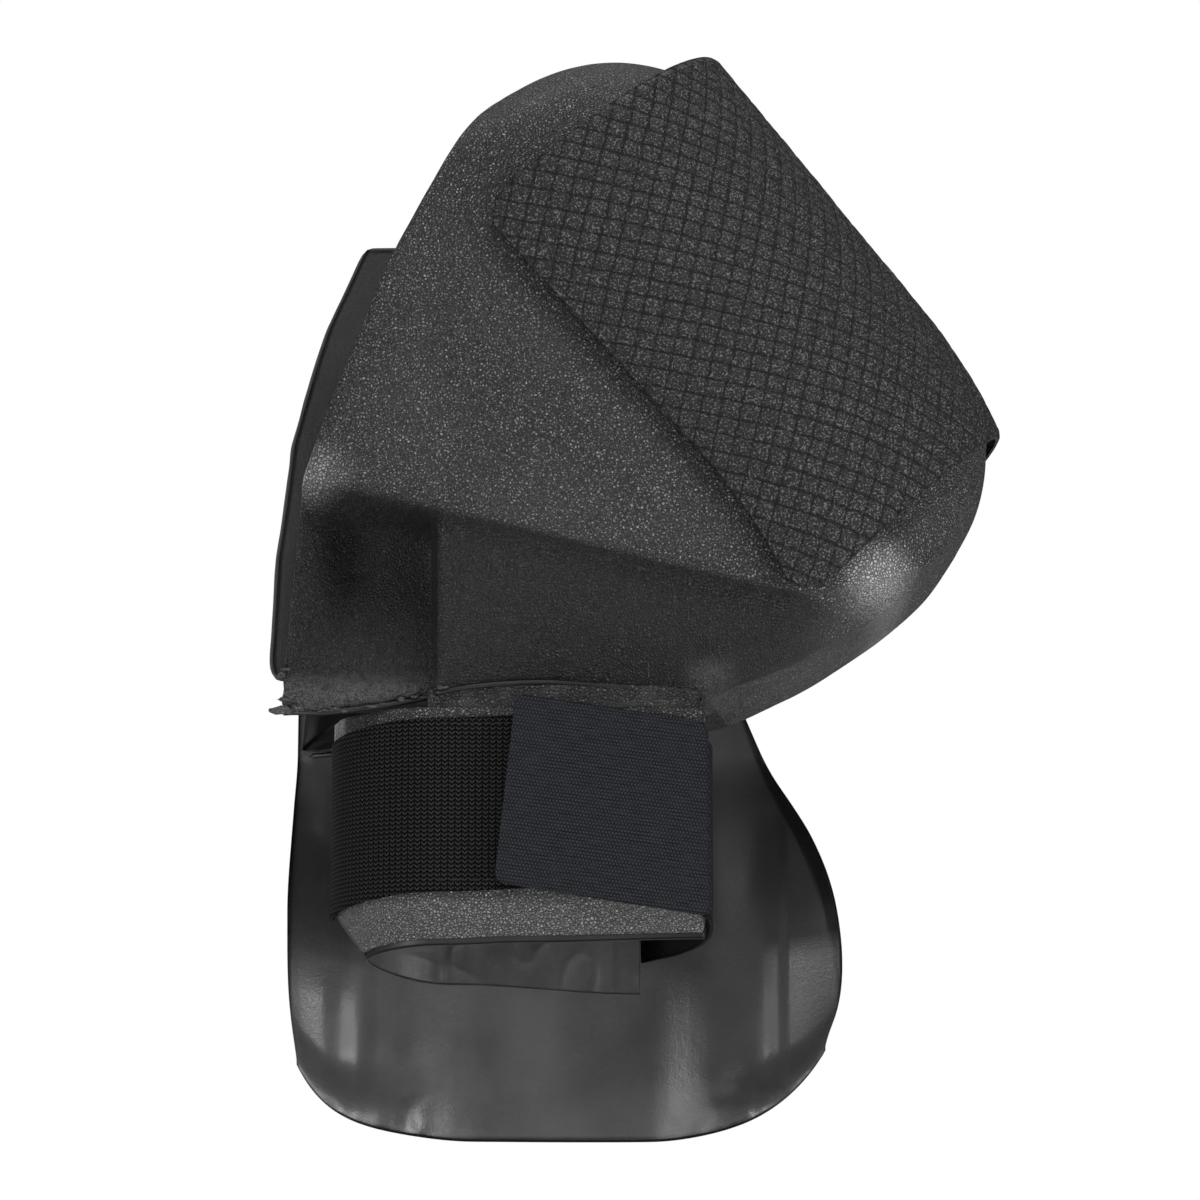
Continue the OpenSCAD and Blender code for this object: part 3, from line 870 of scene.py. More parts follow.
LOOP_FINISH = Pile(Slot.LOOP, (0.0008, 0.0008, 0.0008), (0.026, 0.026, 0.027), 0.95, gloss=0.08)
HOOK_FINISH = HookField(Slot.HOOK, (0.006, 0.006, 0.0065), (0.02, 0.02, 0.022), 0.5)
CLOTH_FINISH = Weave(Slot.CLOTH, (0.004, 0.0045, 0.0055), (0.027, 0.029, 0.034), 0.9, gloss=0.12,
                     thread=1.3, depth=0.3)
ELASTIC_FINISH = Weave(Slot.ELASTIC, (0.002, 0.002, 0.0025), (0.012, 0.012, 0.0135), 0.9,
                       gloss=0.12, thread=0.9, rib=1.6, depth=0.3)
THREAD_FINISH = Weave(Slot.THREAD, (0.004, 0.004, 0.005), (0.012, 0.012, 0.014), 0.6, gloss=0.3,
                      thread=0.3)


def settle(piece: bpy.types.Object, body: str | None, nodes: Sequence[str]) -> None:
    """Hides the nodes that a piece stands for and hangs the piece on its body.

    Args:
        piece: the finished object.
        body: the body it rides on, or None for a piece that spans two bodies; it is then left
            unattached.
        nodes: the nodes it replaces.
    """
    if nodes:
        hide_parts(*nodes)
    if body:
        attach(piece, body)


# ---- dome -----------------------------------------------------------------------------------


@dataclass
class Stations:
    """Lines that the dome's skin is hung on, one row for each station from crown to nose."""

    middle: Array
    crease: Array
    edge: Array
    edge_y: Array
    flank: Array
    crown: int
    corner: int
    lip: int


@dataclass
class Dome:
    """Foam dome over the knee: a saddle-shaped skin, its undercut side, and the knee's hollow."""

    half_width: float = 85.0
    front_rounding: float = 104.0
    face_offset: float = 143.0
    face_angle: float = 38.3
    wall: float = 12.0
    ledge: float = 4.0
    hollow_depth: float = 20.0
    face_from: float = -48.0
    face_to: float = 128.0
    rim_to: float = -16.0
    step_back: float = 0.275
    step_front: float = 0.295
    step_x: float = -35.3
    step_run: float = 3.5
    fullness: float = 3.0
    knee_half: float = 66.0
    knee_low: float = 8.0
    calf_half: float = 51.0
    calf_low: float = -62.0
    cavity_rounding: float = 50.0
    side_cols: int = 62
    under_cols: int = 40
    lip_cols: int = 12
    cavity_cols: int = 22
    crown_line: tuple = ((2, 129), (17, 136), (36, 139), (54, 137), (69, 132), (82.5, 126.3))
    crown_rim: tuple = ((2, 129), (-9, 114), (-20, 96), (-34, 71), (-50, 41), (-64, 7))
    side_rim: tuple = ((-64, 7), (-75, -20), (-84, -46))
    crease_ends: tuple = ((-84, -46), (93, -89))
    nose_line: tuple = ((185, -16), (184, -32), (180, -47), (172, -62))
    nose_crease: tuple = ((93, -89), (115, -91), (137, -86), (158, -76), (172, -62))
    bottom_edge: tuple = ((-92, -134), (-73, -133), (-45, -129), (-20, -124), (10, -122),
                          (40, -124), (69, -127))
    lip_edge: tuple = ((69, -127), (106, -113), (138, -94), (160, -77), (172, -62))
    keel_line: tuple = ((81, -131), (104, -119.5), (137, -96.5), (160, -78), (172, -62))
    cavity_line: tuple = ((6, 120.5), (32, 129), (62, 116), (84, 88), (95, 48), (97, 4), (93, -42),
                          (83, -86), (67.5, -130))

    def face_axes(self) -> tuple[Array, Array]:
        """Outward direction of the sloping face and the direction down it, in X and Z."""
        a = math.radians(self.face_angle)
        return np.array([math.cos(a), math.sin(a)]), np.array([math.sin(a), -math.cos(a)])

    def face_point(self, p: Array) -> Array:
        """Point of the face's middle line at p: a straight line bowed in past p = 70.

        Args:
            p: distance down the face from the foot of its normal.

        Returns:
            X and Z of each point.
        """
        out, down = self.face_axes()
        sag = np.maximum(0, np.asarray(p, float) - 70) / 60
        return (self.face_offset - 8 * sag**2)[..., None] * out + np.asarray(p)[..., None] * down

    def stations(self) -> Stations:
        """Rows of the skin: over the crown, down the back rim, along the crease, round the nose.

        Returns:
            The lines, with the row numbers of the crown, the crease's back corner and the lip.
        """
        crown = np.linspace(0, 1, 64)
        rim = np.linspace(0, 1, 26)[1:]
        share = np.concatenate([np.linspace(0, self.step_back, 27)[1:],
                                np.linspace(self.step_back, self.step_front, 7)[1:],
                                np.linspace(self.step_front, 1, 74)[1:]])
        nose = np.linspace(0, 1, 46)[1:]
        back, front = np.array(self.crease_ends[0]), np.array(self.crease_ends[1])
        middle = np.vstack([curve(self.crown_line, crown),
                            self.face_point(mix(self.face_from, self.rim_to, rim)),
                            self.face_point(mix(self.rim_to, self.face_to, share)),
                            curve(self.nose_line, nose)])
        crease = np.vstack([curve(self.crown_rim, crown), curve(self.side_rim, rim),
                            mix(back, front, share[:, None]), curve(self.nose_crease, nose)])
        corner = len(crown) + len(rim) - 1
        lip = corner + len(share)
        low = self.edge_share(np.concatenate([[0.0], share]))
        edge = np.vstack([curve(self.bottom_edge, low), curve(self.lip_edge, nose)])
        edge_y = np.concatenate([mix(66, 60, low),
                                 60 * np.sqrt(np.maximum(0, 1 - nose**2)) * (1 - 0.2 * nose)])
        rise = 0.62 * self.half_width
        flank = np.full(len(middle), self.half_width)
        flank[:len(crown)] = mix(rise, self.half_width, ease(crown / 0.6))
        return Stations(middle, crease, edge, edge_y, flank, len(crown) - 1, corner, lip)

    def edge_share(self, share: Array) -> Array:
        """Share along the bottom edge that stands under a share of the crease."""
        return np.interp(share, [0, self.step_back, self.step_front, 1], [0, 0.408, 0.423, 1])

    def pinch(self, x: Array) -> Array:
        """How far the sides draw in behind x = -20."""
        return 7 * (np.maximum(0, -20 - x) / 64) ** 2

    def side(self, s: Stations) -> Array:
        """Near side of the skin, from the middle line (first column) to the crease (last).

        Across a row the depth behind the middle line grows by 1 - cos, and the half width at a
        depth is the row's flank times a quarter ellipse.

        Args:
            s: the dome's lines.

        Returns:
            (rows, columns, 3) grid.
        """
        v = 1 - np.cos(0.5 * np.pi * np.linspace(0, 1, self.side_cols + 1))[None, :]
        reach = np.linalg.norm(s.crease - s.middle, axis=1)[:, None]
        p = mix(s.middle[:, None], s.crease[:, None], v[..., None])
        wide = s.flank[:, None] * round_in(v * reach / self.front_rounding)
        return self.near(p, np.maximum(0, wide - self.pinch(p[..., 0]) * v))

    @staticmethod
    def near(p: Array, half: Array) -> Array:
        """Points at p in X and Z, half a width to the near side."""
        return np.stack([p[..., 0], -half, p[..., 1]], -1)

    def under(self, s: Stations, side: Array) -> Array:
        """Underside from the crease to the bottom edge, hollowed behind the step.

        Args:
            s: the dome's lines.
            side: the near side's grid, whose last column is the crease.

        Returns:
            Grid from the crease (first column) to the bottom edge (last). Y is a straight blend
            plus a half sine of fullness, less the hollow's dip and the ledge under the crease.
        """
        v = np.linspace(0, 1, self.under_cols + 1)[None, :]
        crease, edge_y = s.crease[s.corner:, None], s.edge_y[:, None]
        p = mix(crease, s.edge[:, None], v[..., None])
        top = -side[s.corner:, -1, 1][:, None]
        x = crease[..., 0]
        behind = 1 - ease((x - self.step_x) / self.step_run)
        dip = (self.hollow_depth * behind * mix(0.1, 1, ease((x + 88) / 24)) * ease(v / 0.16)
               * mix(1, 0.35, ease((v - 0.3) / 0.6)))
        full = self.fullness * np.sin(np.pi * v) * np.minimum(1, edge_y / 60)
        ledge = self.ledge * ease(v / 0.08) * (1 - v) ** 2 * np.minimum(1, edge_y / 50)
        return self.near(p, mix(top, edge_y, v) + full - dip - ledge)

    def lip(self, s: Stations) -> Array:
        """Front lip, from the bottom edge in to the keel under the nose.

        Args:
            s: the dome's lines.

        Returns:
            Grid from the bottom edge (first column) to the keel, straight across.
        """
        rows = len(s.edge) - (s.lip - s.corner)
        t = np.linspace(0, 1, self.lip_cols + 1)[None, :]
        keel = curve(self.keel_line, np.concatenate([[0], np.linspace(0, 1, rows)[1:]]))
        p = mix(s.edge[-rows:, None], keel[:, None], (0.5 * ease(t) + 0.5 * t)[..., None])
        return self.near(p, s.edge_y[-rows:, None] * (1 - t))

    def rim_path(self, s: Stations, side: Array, under: Array, lip: Array) -> tuple[Array, Array]:
        """Edge of the opening and how far along it each point is, from 0 to 42.

        Args:
            s: the dome's lines.
            side: the near side's grid.
            under: the underside's grid.
            lip: the lip's grid.

        Returns:
            The points of the edge, and one number along it for each.
        """
        fronts = s.lip - s.corner
        share = (s.crease[s.corner + 1:s.lip + 1, 0] - self.crease_ends[0][0]) / (
            self.crease_ends[1][0] - self.crease_ends[0][0])
        steps = np.interp(self.edge_share(share), [0, self.step_back, self.step_front, 1],
                          [0, 6, 7, 19])
        path = np.vstack([side[:s.corner + 1, -1], under[0, 1:], under[1:fronts + 1, -1],
                          lip[0, 1:]])
        along = np.concatenate([np.linspace(0, 10, s.crown + 1),
                                np.linspace(10, 14, s.corner - s.crown + 1)[1:],
                                14 + 6 * np.linspace(0, 1, self.under_cols + 1)[1:],
                                20 + steps, 39 + 3 * np.linspace(0, 1, self.lip_cols + 1)[1:]])
        return path, along

    def cavity_half(self, z: Array) -> Array:
        """Half width of the hollow at a height: wide at the knee and narrow at the calf."""
        return mix(self.calf_half, self.knee_half,
                   ease((z - self.calf_low) / (self.knee_low - self.calf_low)))

    def cavity(self, path: Array, along: Array, inset: float) -> Array:
        """Skin of the knee's hollow, one row for each point of the opening's edge.

        Args:
            path: the opening's edge on the outer skin.
            along: where each point is along it, from 0 to 42.
            inset: how far the grid lies inside the foam's own skin.

        Returns:
            The near side's grid, from the middle line to the opening.
        """
        q = np.clip(-path[:, 1] / 60, 0, 1)
        first = (along < 21)[:, None]
        move = np.where(first, [[4.5, -14.0]], [[-13.0, 1.0]])
        half = np.minimum(np.maximum(0, -path[:, 1] - self.wall * q), self.cavity_half(path[:, 2]))
        rim = path[:, [0, 2]] + move * (1 - q)[:, None]
        t = along / along[-1]
        free = np.minimum(1, np.minimum(along, along[-1] - along))[:, None]
        m = mix(rim, curve(self.cavity_line, t), free)
        v = (1 - np.cos(0.5 * np.pi * np.linspace(0, 1, self.cavity_cols + 1)))[None, :]
        length = np.linalg.norm(rim - m, axis=1)[:, None]
        p = mix(m[:, None], rim[:, None], v[..., None])
        tall = ease((rim[:, 1:] - 2) / 12)
        room = mix(mix(self.cavity_half(p[..., 1]), half[:, None], ease(5 * v - 4)),
                   half[:, None], tall)
        y = room * round_in(v * length / np.maximum(1, np.minimum(self.cavity_rounding, length)))
        sideways = np.minimum(1, y / 12)
        heading = np.radians(mix(-75, -180, ease(t / 0.35)))[:, None]
        turn = np.stack([np.cos(heading), np.sin(heading)], -1)
        p = p + inset * (1 - sideways)[..., None] * turn
        return self.near(p, np.maximum(0, y - inset * sideways))

    def torn(self, p: Array) -> Array:
        """1 where the bottom edge is torn: at its back corner, and a little under the lip.

        Args:
            p: (n, 3) points.

        Returns:
            One value per point, 0 where the edge is whole.
        """
        back = ease((p[:, 0] + 26) / -14) * ease((p[:, 2] + 118) / -9)
        front = 0.7 * ease(1 - np.abs(p[:, 0] - 72) / 14) * ease((p[:, 2] + 112) / -8)
        return np.clip(back + front, 0, 1) * (np.abs(p[:, 1]) > 20)

    def painted_under_shade(self, p: Array) -> Array:
        """1 on the underside below the crease, where shade is painted into the colour; eased over the
        crease.

        Args:
            p: (n, 3) points.

        Returns:
            One value per point.
        """
        back, front = np.array(self.crease_ends[0]), np.array(self.crease_ends[1])
        share = (p[:, 0] - back[0]) / (front[0] - back[0])
        level = mix(back[1], front[1], np.clip(share, 0, 1))
        level = level - 12 * ease((share - 1) / 0.25)
        below = ease((level + 0.5 - p[:, 2]) / 1.4)
        return below * (np.abs(p[:, 1]) > 50) * ease((1.22 - share) / 0.16)

    @staticmethod
    def polish_and_highlight(p: Array) -> Array:
        """1 for a painted highlight and less roughness: at the crease's back corner and under the
        nose.

        Args:
            p: (n, 3) points.

        Returns:
            One value per point, easing to 0 with the distance from either place.
        """
        back = np.hypot((p[:, 0] + 82) / 1.4, p[:, 2] + 44)
        nose = np.hypot(p[:, 0] - 135, (p[:, 2] + 83) * 1.2)
        return np.clip(0.6 * ease((15 - back) / 13) + ease((21 - nose) / 19), 0, 1)

    def uneven(self, p: Array) -> Array:
        """How far the foam swells or is torn, along its normal."""
        soft = 0.5 * noise(p, 34, 3) + 0.12 * noise(p, 9, 4)
        return soft + self.torn(p) * (1.1 * noise(p, 3.2, 5) + 0.9 * noise(p, 1.6, 6) - 0.4)

    def build(self) -> None:
        """Makes the foam, its lining, the rolled edge bead and the torn crumbs."""
        s = self.stations()
        side = self.side(s)
        under = self.under(s, side)
        lip = self.lip(s)
        path, along = self.rim_path(s, side, under, lip)
        hollow = self.cavity(path, along, 0.0)
        t = np.linspace(0, 1, 7)[None, :, None]
        rim = mix(path[:, None], hollow[:, -1][:, None], t)
        skin = Surface().patch(side).patch(under).patch(lip).patch(hollow[:, ::-1]).patch(rim)
        # The marks paint shade on the underside and a highlight with less roughness on the crease.
        foam = make_piece("dome_foam", skin.mirrored(), 2, self.uneven, DOME_FINISH.made(),
                          {"torn": self.torn, "under": self.painted_under_shade, "polish_highlight": self.polish_and_highlight})
        settle(foam, "shell", ["dome_shell"])
        self.build_lining(path, along)
        self.build_crumbs(path)

    def build_lining(self, path: Array, along: Array) -> None:
        """Thin black film over the hollow, its edge a thin flange along the opening.

        Args:
            path: the opening's edge on the outer skin.
            along: where each point is along it.
        """
        outer = self.cavity(path, along, 0.5)
        inner = self.cavity(path, along, 1.5)
        t = np.linspace(0, 1, 4)[None, :, None]
        edge = mix(outer[:, -1][:, None], inner[:, -1][:, None], t)
        film = Surface().patch(outer).patch(inner[:, ::-1]).patch(edge[:, ::-1])
        lining = make_piece("inner_lining", film.mirrored(), 0, None, FILM_FINISH.made())
        settle(lining, "shell", ["inner_liner"])
        low = path[(along > 20) & (along <= 39)]
        flange = low + np.array([0, 1.2, -0.6])
        bead = make_piece("edge_flange", tube(flange, 1.1).mirrored(), 0, None,
                          FILM_FINISH.made())
        settle(bead, "shell", [])

    def build_crumbs(self, path: Array) -> None:
        """Loose bits of foam that hang from the torn part of the bottom edge.

        Args:
            path: the opening's edge on the outer skin.
        """
        made = Surface()
        rng = np.random.default_rng(7)
        low = path[(path[:, 2] < -118) & (path[:, 0] < -28)]
        for k in rng.choice(len(low) - 1, 18, replace=False):
            size = rng.uniform(0.7, 1.9)
            made = self.crumb(made, low[k] + rng.uniform(-1, 1, 3) * [1, 1, 0.6], size, rng)
        crumbs = make_piece("torn_crumbs", made, 0, lambda p: 0.5 * noise(p, 1.5, 9),
                            DOME_FINISH.made(), {"torn": lambda p: np.ones(len(p))})
        settle(crumbs, "shell", [])

    @staticmethod
    def crumb(made: Surface, place: Array, size: float, rng: np.random.Generator) -> Surface:
        """Adds one crumb: a ball stretched along X whose radius a noise changes.

        Args:
            made: the surface that the crumb joins.
            place: its middle.
            size: its radius.
            rng: the random draws.

        Returns:
            The surface with the crumb.
        """
        a = np.linspace(0, np.pi, 9)[:, None]
        b = np.linspace(0, 2 * np.pi, 13)[None, :]
        ball = np.stack([np.cos(a) + 0 * b, np.sin(a) * np.cos(b), np.sin(a) * np.sin(b)], -1)
        ball[:, -1] = ball[:, 0]
        lumpy = 1 + 0.35 * noise(ball * 10 + place, 7, 11)[..., None]
        lumpy[[0, -1]] = 1
        return made.patch(place + ball * lumpy * size * rng.uniform(0.4, 1.2, 3) * [2.2, 1, 0.8])


@dataclass
class KneeCushion:
    """Foam lining strip that wraps the front and sides of the knee inside the hollow."""

    dome: Dome
    thickness: float = 9.0
    gap: float = 4.6
    top: float = 48.0
    low: float = -118.0
    back_line: tuple = ((-118, -96), (-113, -97), (-71, -95), (-28, -89), (17, -75), (48, -61))
    front_line: tuple = ((-118, 69), (-86, 80), (-42, 90), (4, 94), (48, 92))

    def grid(self, z: Array, w: Array, inset: Array | float) -> Array:
        """Strip at height z; w runs from the near back edge (-1) round the front to the far one.

        The front quarter turns are ellipses as deep as the hollow's rounding; the rest runs
        straight back.

        Args:
            z: heights.
            w: -1 to 1 along the strip.
            inset: how far inside the strip's outer face.

        Returns:
            (rows, columns, 3) grid.
        """
        half = self.dome.cavity_half(z) - self.gap - inset
        front = table_value(self.front_line, z) - inset
        turn = self.dome.cavity_rounding - inset
        s = np.abs(w)
        bend = np.pi * np.minimum(s, 0.5)
        x_turn = front - turn * (1 - np.cos(bend))
        x_run = mix(front - turn, table_value(self.back_line, z), np.maximum(0, 2 * s - 1))
        y = np.sign(w) * half * np.sin(bend)
        return np.stack([np.where(s < 0.5, x_turn, x_run), y, z + 0 * w], -1)

    def core(self, p: Array) -> Array:
        """1 along the middle of the cut back edge, 0 elsewhere.

        Args:
            p: (n, 3) points.

        Returns:
            One value per point.
        """
        at_back = ease((table_value(self.back_line, p[:, 2]) + 1.5 - p[:, 0]) / 1.2)
        depth = (self.dome.cavity_half(p[:, 2]) - self.gap - np.abs(p[:, 1])) / self.thickness
        return at_back * ease(depth / 0.2) * ease((0.72 - depth) / 0.15)

    def build(self) -> None:
        """Makes the strip with soft edges, a slightly uneven skin and its cut back edge."""
        z = np.linspace(self.top, self.low, 92)[:, None]
        w = np.linspace(-1, 1, 241)[None, :]
        z, w = np.broadcast_arrays(z, w)
        body = slab(self.grid(z, w, 0.0), self.grid(z, w, self.thickness), 1.4, 8)
        strip = make_piece("knee_cushion_foam", body, 2,
                           lambda p: 0.3 * noise(p, 26, 21) + 0.12 * noise(p, 6, 22) - 0.2,
                           CUSHION_FINISH.made(), {"core": self.core})
        settle(strip, "shell", ["knee_cushion"])


# ---- tread pad ------------------------------------------------------------------------------


@dataclass
class TreadPad:
    """Saddle-shaped tread pad and the hook and loop patches that hold it on the dome."""

    dome: Dome
    start: float = -62.0
    end: float = 130.0
    thickness: float = 3.2
    patch_thickness: float = 0.8
    gap: float = 0.4
    skew_top: float = 6.0
    skew_low: float = 12.0
    flank: float = 16.0
    corner: float = 12.0
    turned_at: float = 0.93
    taper: float = 0.06
    patch_margin: float = 14.0
    half_length: float = 150.0
    pillow_height: float = 0.95
    rows: int = 166
    cols: int = 286

    def saddle(self, v: Array, w: Array, lift: Array | float, margin: float) -> Array:
        """Point at share v down the pad and w across it, from the near flank to the far one.

        The pad turns round the dome's front as a quarter ellipse on each side and then runs on
        straight; lift moves it out square to the ellipse; its ends are skewed as it turns.

        Args:
            v: share down the pad.
            w: -1 to 1 across it.
            lift: how far off the dome.
            margin: how far inside the pad's outline.

        Returns:
            (rows, columns, 3) grid.
        """
        s = np.abs(w)
        turn = 0.5 * np.pi * (1 - self.taper * v) * np.minimum(1, s / self.turned_at)
        past = (self.flank - margin) * np.maximum(0, s - self.turned_at) / (1 - self.turned_at)
        short = np.clip(self.corner - (1 - s) * self.half_length, 0, self.corner)
        tuck = self.corner - np.sqrt(self.corner**2 - short**2)
        bent = 1 - np.cos(turn)
        p = mix(self.start + tuck + margin + self.skew_top * bent,
                self.end - tuck - margin + self.skew_low * bent, v)
        deep, wide = self.dome.front_rounding, self.dome.half_width
        up_in, up_out = np.cos(turn) / deep, np.sin(turn) / wide
        scale = lift / np.hypot(up_in, up_out)
        out, _ = self.dome.face_axes()
        back = deep * (1 - np.cos(turn)) + past - up_in * scale
        across = self.dome.face_point(p) - back[..., None] * out
        side = np.where(w < 0, -1.0, 1.0) * (wide * np.sin(turn) + up_out * scale)
        return np.stack([across[..., 0], side, across[..., 1]], -1)

    def ways(self) -> Array:
        """Stations across the pad, closer together at its rounded corners.

        Returns:
            Shares from -1 to 1 in order.
        """
        reach = self.corner / self.half_length
        ends = 1 - reach * (1 - np.cos(np.linspace(0, 0.5 * np.pi, 10)))
        even = np.linspace(-1 + reach, 1 - reach, self.cols - 20)
        return np.unique(np.concatenate([-ends, even, ends]))

    def flat(self, v: Array, w: Array) -> Array:
        """The pad unrolled: distance down it and distance across it along the surface.

        Args:
            v: share down the pad.
            w: -1 to 1 across it.

        Returns:
            Two distances per point.
        """
        middle = self.saddle(0.5 + 0 * w[:1], w[:1], 0.0, 0.0)
        step = np.linalg.norm(np.diff(middle, axis=1), axis=-1)
        b = np.concatenate([[0], np.cumsum(step[0])])
        b = b - np.interp(0, w[0], b)
        p = self.dome.face_axes()[1]
        grid = self.saddle(v, w, 0.0, 0.0)
        a = grid[..., [0, 2]] @ p
        return np.stack([a, np.broadcast_to(b, a.shape)], -1)

    def pillows(self, flat: Array) -> Array:
        """Pillow height from 0 in a groove to 1: rounded squares in rows across the pad's grain.

        Args:
            flat: the pad unrolled, from flat().

        Returns:
            One height per point: the root of two power curves' product, one across each groove.
        """
        angle = math.radians(TREAD_FINISH.row_angle)
        s = (flat[..., 0] * math.cos(angle) + flat[..., 1] * math.sin(angle))
        t = (-flat[..., 0] * math.sin(angle) + flat[..., 1] * math.cos(angle))
        s, t = s / TREAD_FINISH.row_pitch, t / TREAD_FINISH.cross_pitch
        a, b = np.abs(2 * (s - np.round(s))), np.abs(2 * (t - np.round(t)))
        return np.sqrt(np.maximum(0, (1 - 0.95 * a**4.5) * (1 - b**4.5)))

    def patch_of(self, name: str, low: float, finish: Finish, body: str, node: str) -> None:
        """A fastening patch that follows the saddle from low upwards.

        Args:
            name: the piece's name.
            low: how far its inner face is off the dome.
            finish: what it wears.
            body: the body it rides on.
            node: the node it replaces.
        """
        v, w = np.meshgrid(np.linspace(0, 1, 40), np.linspace(-1, 1, 90), indexing="ij")
        top = self.saddle(v, w, low + self.patch_thickness, self.patch_margin)
        under = self.saddle(v, w, low, self.patch_margin)
        piece = make_piece(name, slab(top, under, 0.2, 3, self.flat(v, w)), 0, None, finish.made())
        settle(piece, body, [node])

    def build(self) -> None:
        """Makes the two patches and the pad with its moulded pillows."""
        self.patch_of("pad_loop_field", self.gap, LOOP_FINISH, "shell", "pad_loop_patch")
        low = 2 * self.gap + self.patch_thickness
        self.patch_of("pad_hook_field", low, HOOK_FINISH, "tread", "pad_hook_patch")
        v, w = np.meshgrid(np.linspace(0, 1, self.rows), self.ways(), indexing="ij")
        flat = self.flat(v, w)
        edge = np.minimum(v, 1 - v) * 190
        edge = np.minimum(edge, (1 - np.abs(w)) * self.half_length)
        raised = self.pillows(flat) * ease(edge / 1.5 - 0.2)
        low = 3 * self.gap + 2 * self.patch_thickness
        worn = 0.25 * noise(self.saddle(v, w, 0.0, 0.0), 14, 31)
        lift = low + self.thickness - 0.5 + self.pillow_height * (raised - 0.35) + worn
        top = self.saddle(v, w, lift, 0.0)
        under = self.saddle(v, w, low, 0.0)
        tread = make_piece("tread_pad", slab(top, under, 0.5, 4, flat), 0, None,
                           TREAD_FINISH.made())
        settle(tread, "tread", ["grip_pad"])


# ---- calf band ------------------------------------------------------------------------------


def length_along(points: Array) -> Array:
    """Distance along a path at each of its points."""
    return np.concatenate([[0], np.cumsum(np.linalg.norm(np.diff(points, axis=0), axis=1))])


@dataclass
class CalfBand:
    """Foam band round the calf: a near leg, a fold behind the calf and a far leg."""

    thickness: float = 12.0
    near_face: float = 62.0
    far_face: float = 42.0
    front_x: float = 70.0
    wing_x: float = 46.0
    fold_x: float = -30.0
    fold_reach: float = 44.0
    top: tuple = ((-1, -132), (-0.4, -132), (0, -132), (0.5, -132), (1, -143), (2, -150))
    low_out: tuple = ((-1, -207), (-0.3, -199), (0, -200), (0.5, -207), (1, -222), (2, -231))
    low_in: tuple = ((-1, -218.5), (-0.3, -220), (0, -221), (0.5, -224), (1, -230), (2, -234))
    film_gap: float = 0.5
    film: float = 0.8

    def plan(self, u: Array, inset: Array | float) -> tuple[Array, Array]:
        """X and Y of the band at u, inset from its outside.

        u runs -1 to 0 along the near leg, 0 to 1 round the fold, a half ellipse, and 1 to 2
        along the far leg.

        Args:
            u: -1 to 2 along the band.
            inset: how far inside the band's outer face.

        Returns:
            X and Y, each shaped like u.
        """
        middle, half = (self.far_face - self.near_face) / 2, (self.far_face + self.near_face) / 2
        turn = np.pi * np.clip(u, 0, 1)
        x = self.fold_x - (self.fold_reach - inset) * np.sin(turn)
        y = middle - (half - inset) * np.cos(turn)
        x = np.where(u < 0, mix(self.fold_x, self.front_x, -u), x)
        x = np.where(u > 1, mix(self.fold_x, self.wing_x, u - 1), x)
        return x, y

    def grid(self, u: Array, share: Array, inset: Array | float, top: tuple, low: Array) -> Array:
        """Face of the band between the line top and the heights low, at shares down it.

        Args:
            u: -1 to 2 along the band.
            share: share down the face.
            inset: how far inside the outer face.
            top: (u, height) pairs of the upper edge.
            low: heights of the lower edge.

        Returns:
            (rows, columns, 3) grid.
        """
        x, y = self.plan(u, inset)
        return np.stack([x, y, mix(table_value(top, u, True), low, share)], -1)

    def joint_ends(self) -> tuple[tuple, tuple]:
        """Start and end of the stretch of the fold that bends as the band opens."""
        return (-0.067, -0.030, -0.18), (-0.067, 0.010, -0.18)

    def dent(self, p: Array) -> Array:
        """The foam's soft dents, deepest in upright creases at the fold.

        Args:
            p: (n, 3) points.

        Returns:
            Move along the normal, in millimetres.
        """
        fold = ease((self.fold_x - p[:, 0]) / 25)
        crease = noise(p * [1, 1, 0.2], 9, 41)
        return -0.35 + 0.3 * noise(p, 22, 42) + 0.35 * fold * (crease - 0.4)

    def painted_highlight(self, p: Array) -> Array:
        """A faint painted highlight and less roughness on the slanting lower face of the near leg."""
        return 0.2 * ease((-203 - p[:, 2]) / 5) * (p[:, 1] < -20)

    def build(self) -> None:
        """Makes the foam, the lining skin on its inside and the quilted patch."""
        us = np.concatenate([np.linspace(-1, 0, 90), np.linspace(0, 1, 110)[1:],
                             np.linspace(1, 2, 70)[1:]])
        share, u = np.meshgrid(np.linspace(0, 1, 60), us, indexing="ij")
        outer_low, inner_low = table_value(self.low_out, u, True), table_value(self.low_in, u, True)
        outer = self.grid(u, share, 0.0, self.top, outer_low)
        inner = self.grid(u, share, self.thickness, self.top, inner_low)
        # The mark on the lower bevel paints a faint highlight into the colour and lowers its
        # roughness.
        foam = make_piece("calf_band_foam", slab(outer, inner, 0.8, 10), 3, self.dent,
                          BAND_FINISH.made(), {"polish_highlight": self.painted_highlight})
        settle(foam, None, ["band_front", "band_wing"])
        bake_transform(foam)
        self.build_lining(us)
        self.build_patch()

    def wrinkle(self, u: Array, share: Array) -> Array:
        """How far the lining stands off the foam: long folds, a hem and a turned corner.

        Args:
            u: -1 to 2 along the band.
            share: share down the face.

        Returns:
            Millimetres off the foam: folded noise for the long folds, finer noise between them,
            and a step for the hem.
        """
        x, y = self.plan(u, self.thickness)
        z = mix(-150, -234, share)
        far = ease((u - 0.7) / 0.3)
        p = np.stack([x, y, z], -1)
        slant = noise(p @ np.array([[0.35, 0, 0.9], [0, 0.2, 0], [0.9, 0, -0.25]]), 11, 51)
        fine = noise(p * [1, 1, 0.35], 7, 52)
        hem = ease((x - 36) / 1.5) * ease((u - 1.2) / 0.1)
        ridge = (1 - np.abs(slant)) ** 6
        return far * (0.8 * ridge + 0.3 * np.abs(fine)) + 0.9 * hem * (1 + 0.5 * fine)

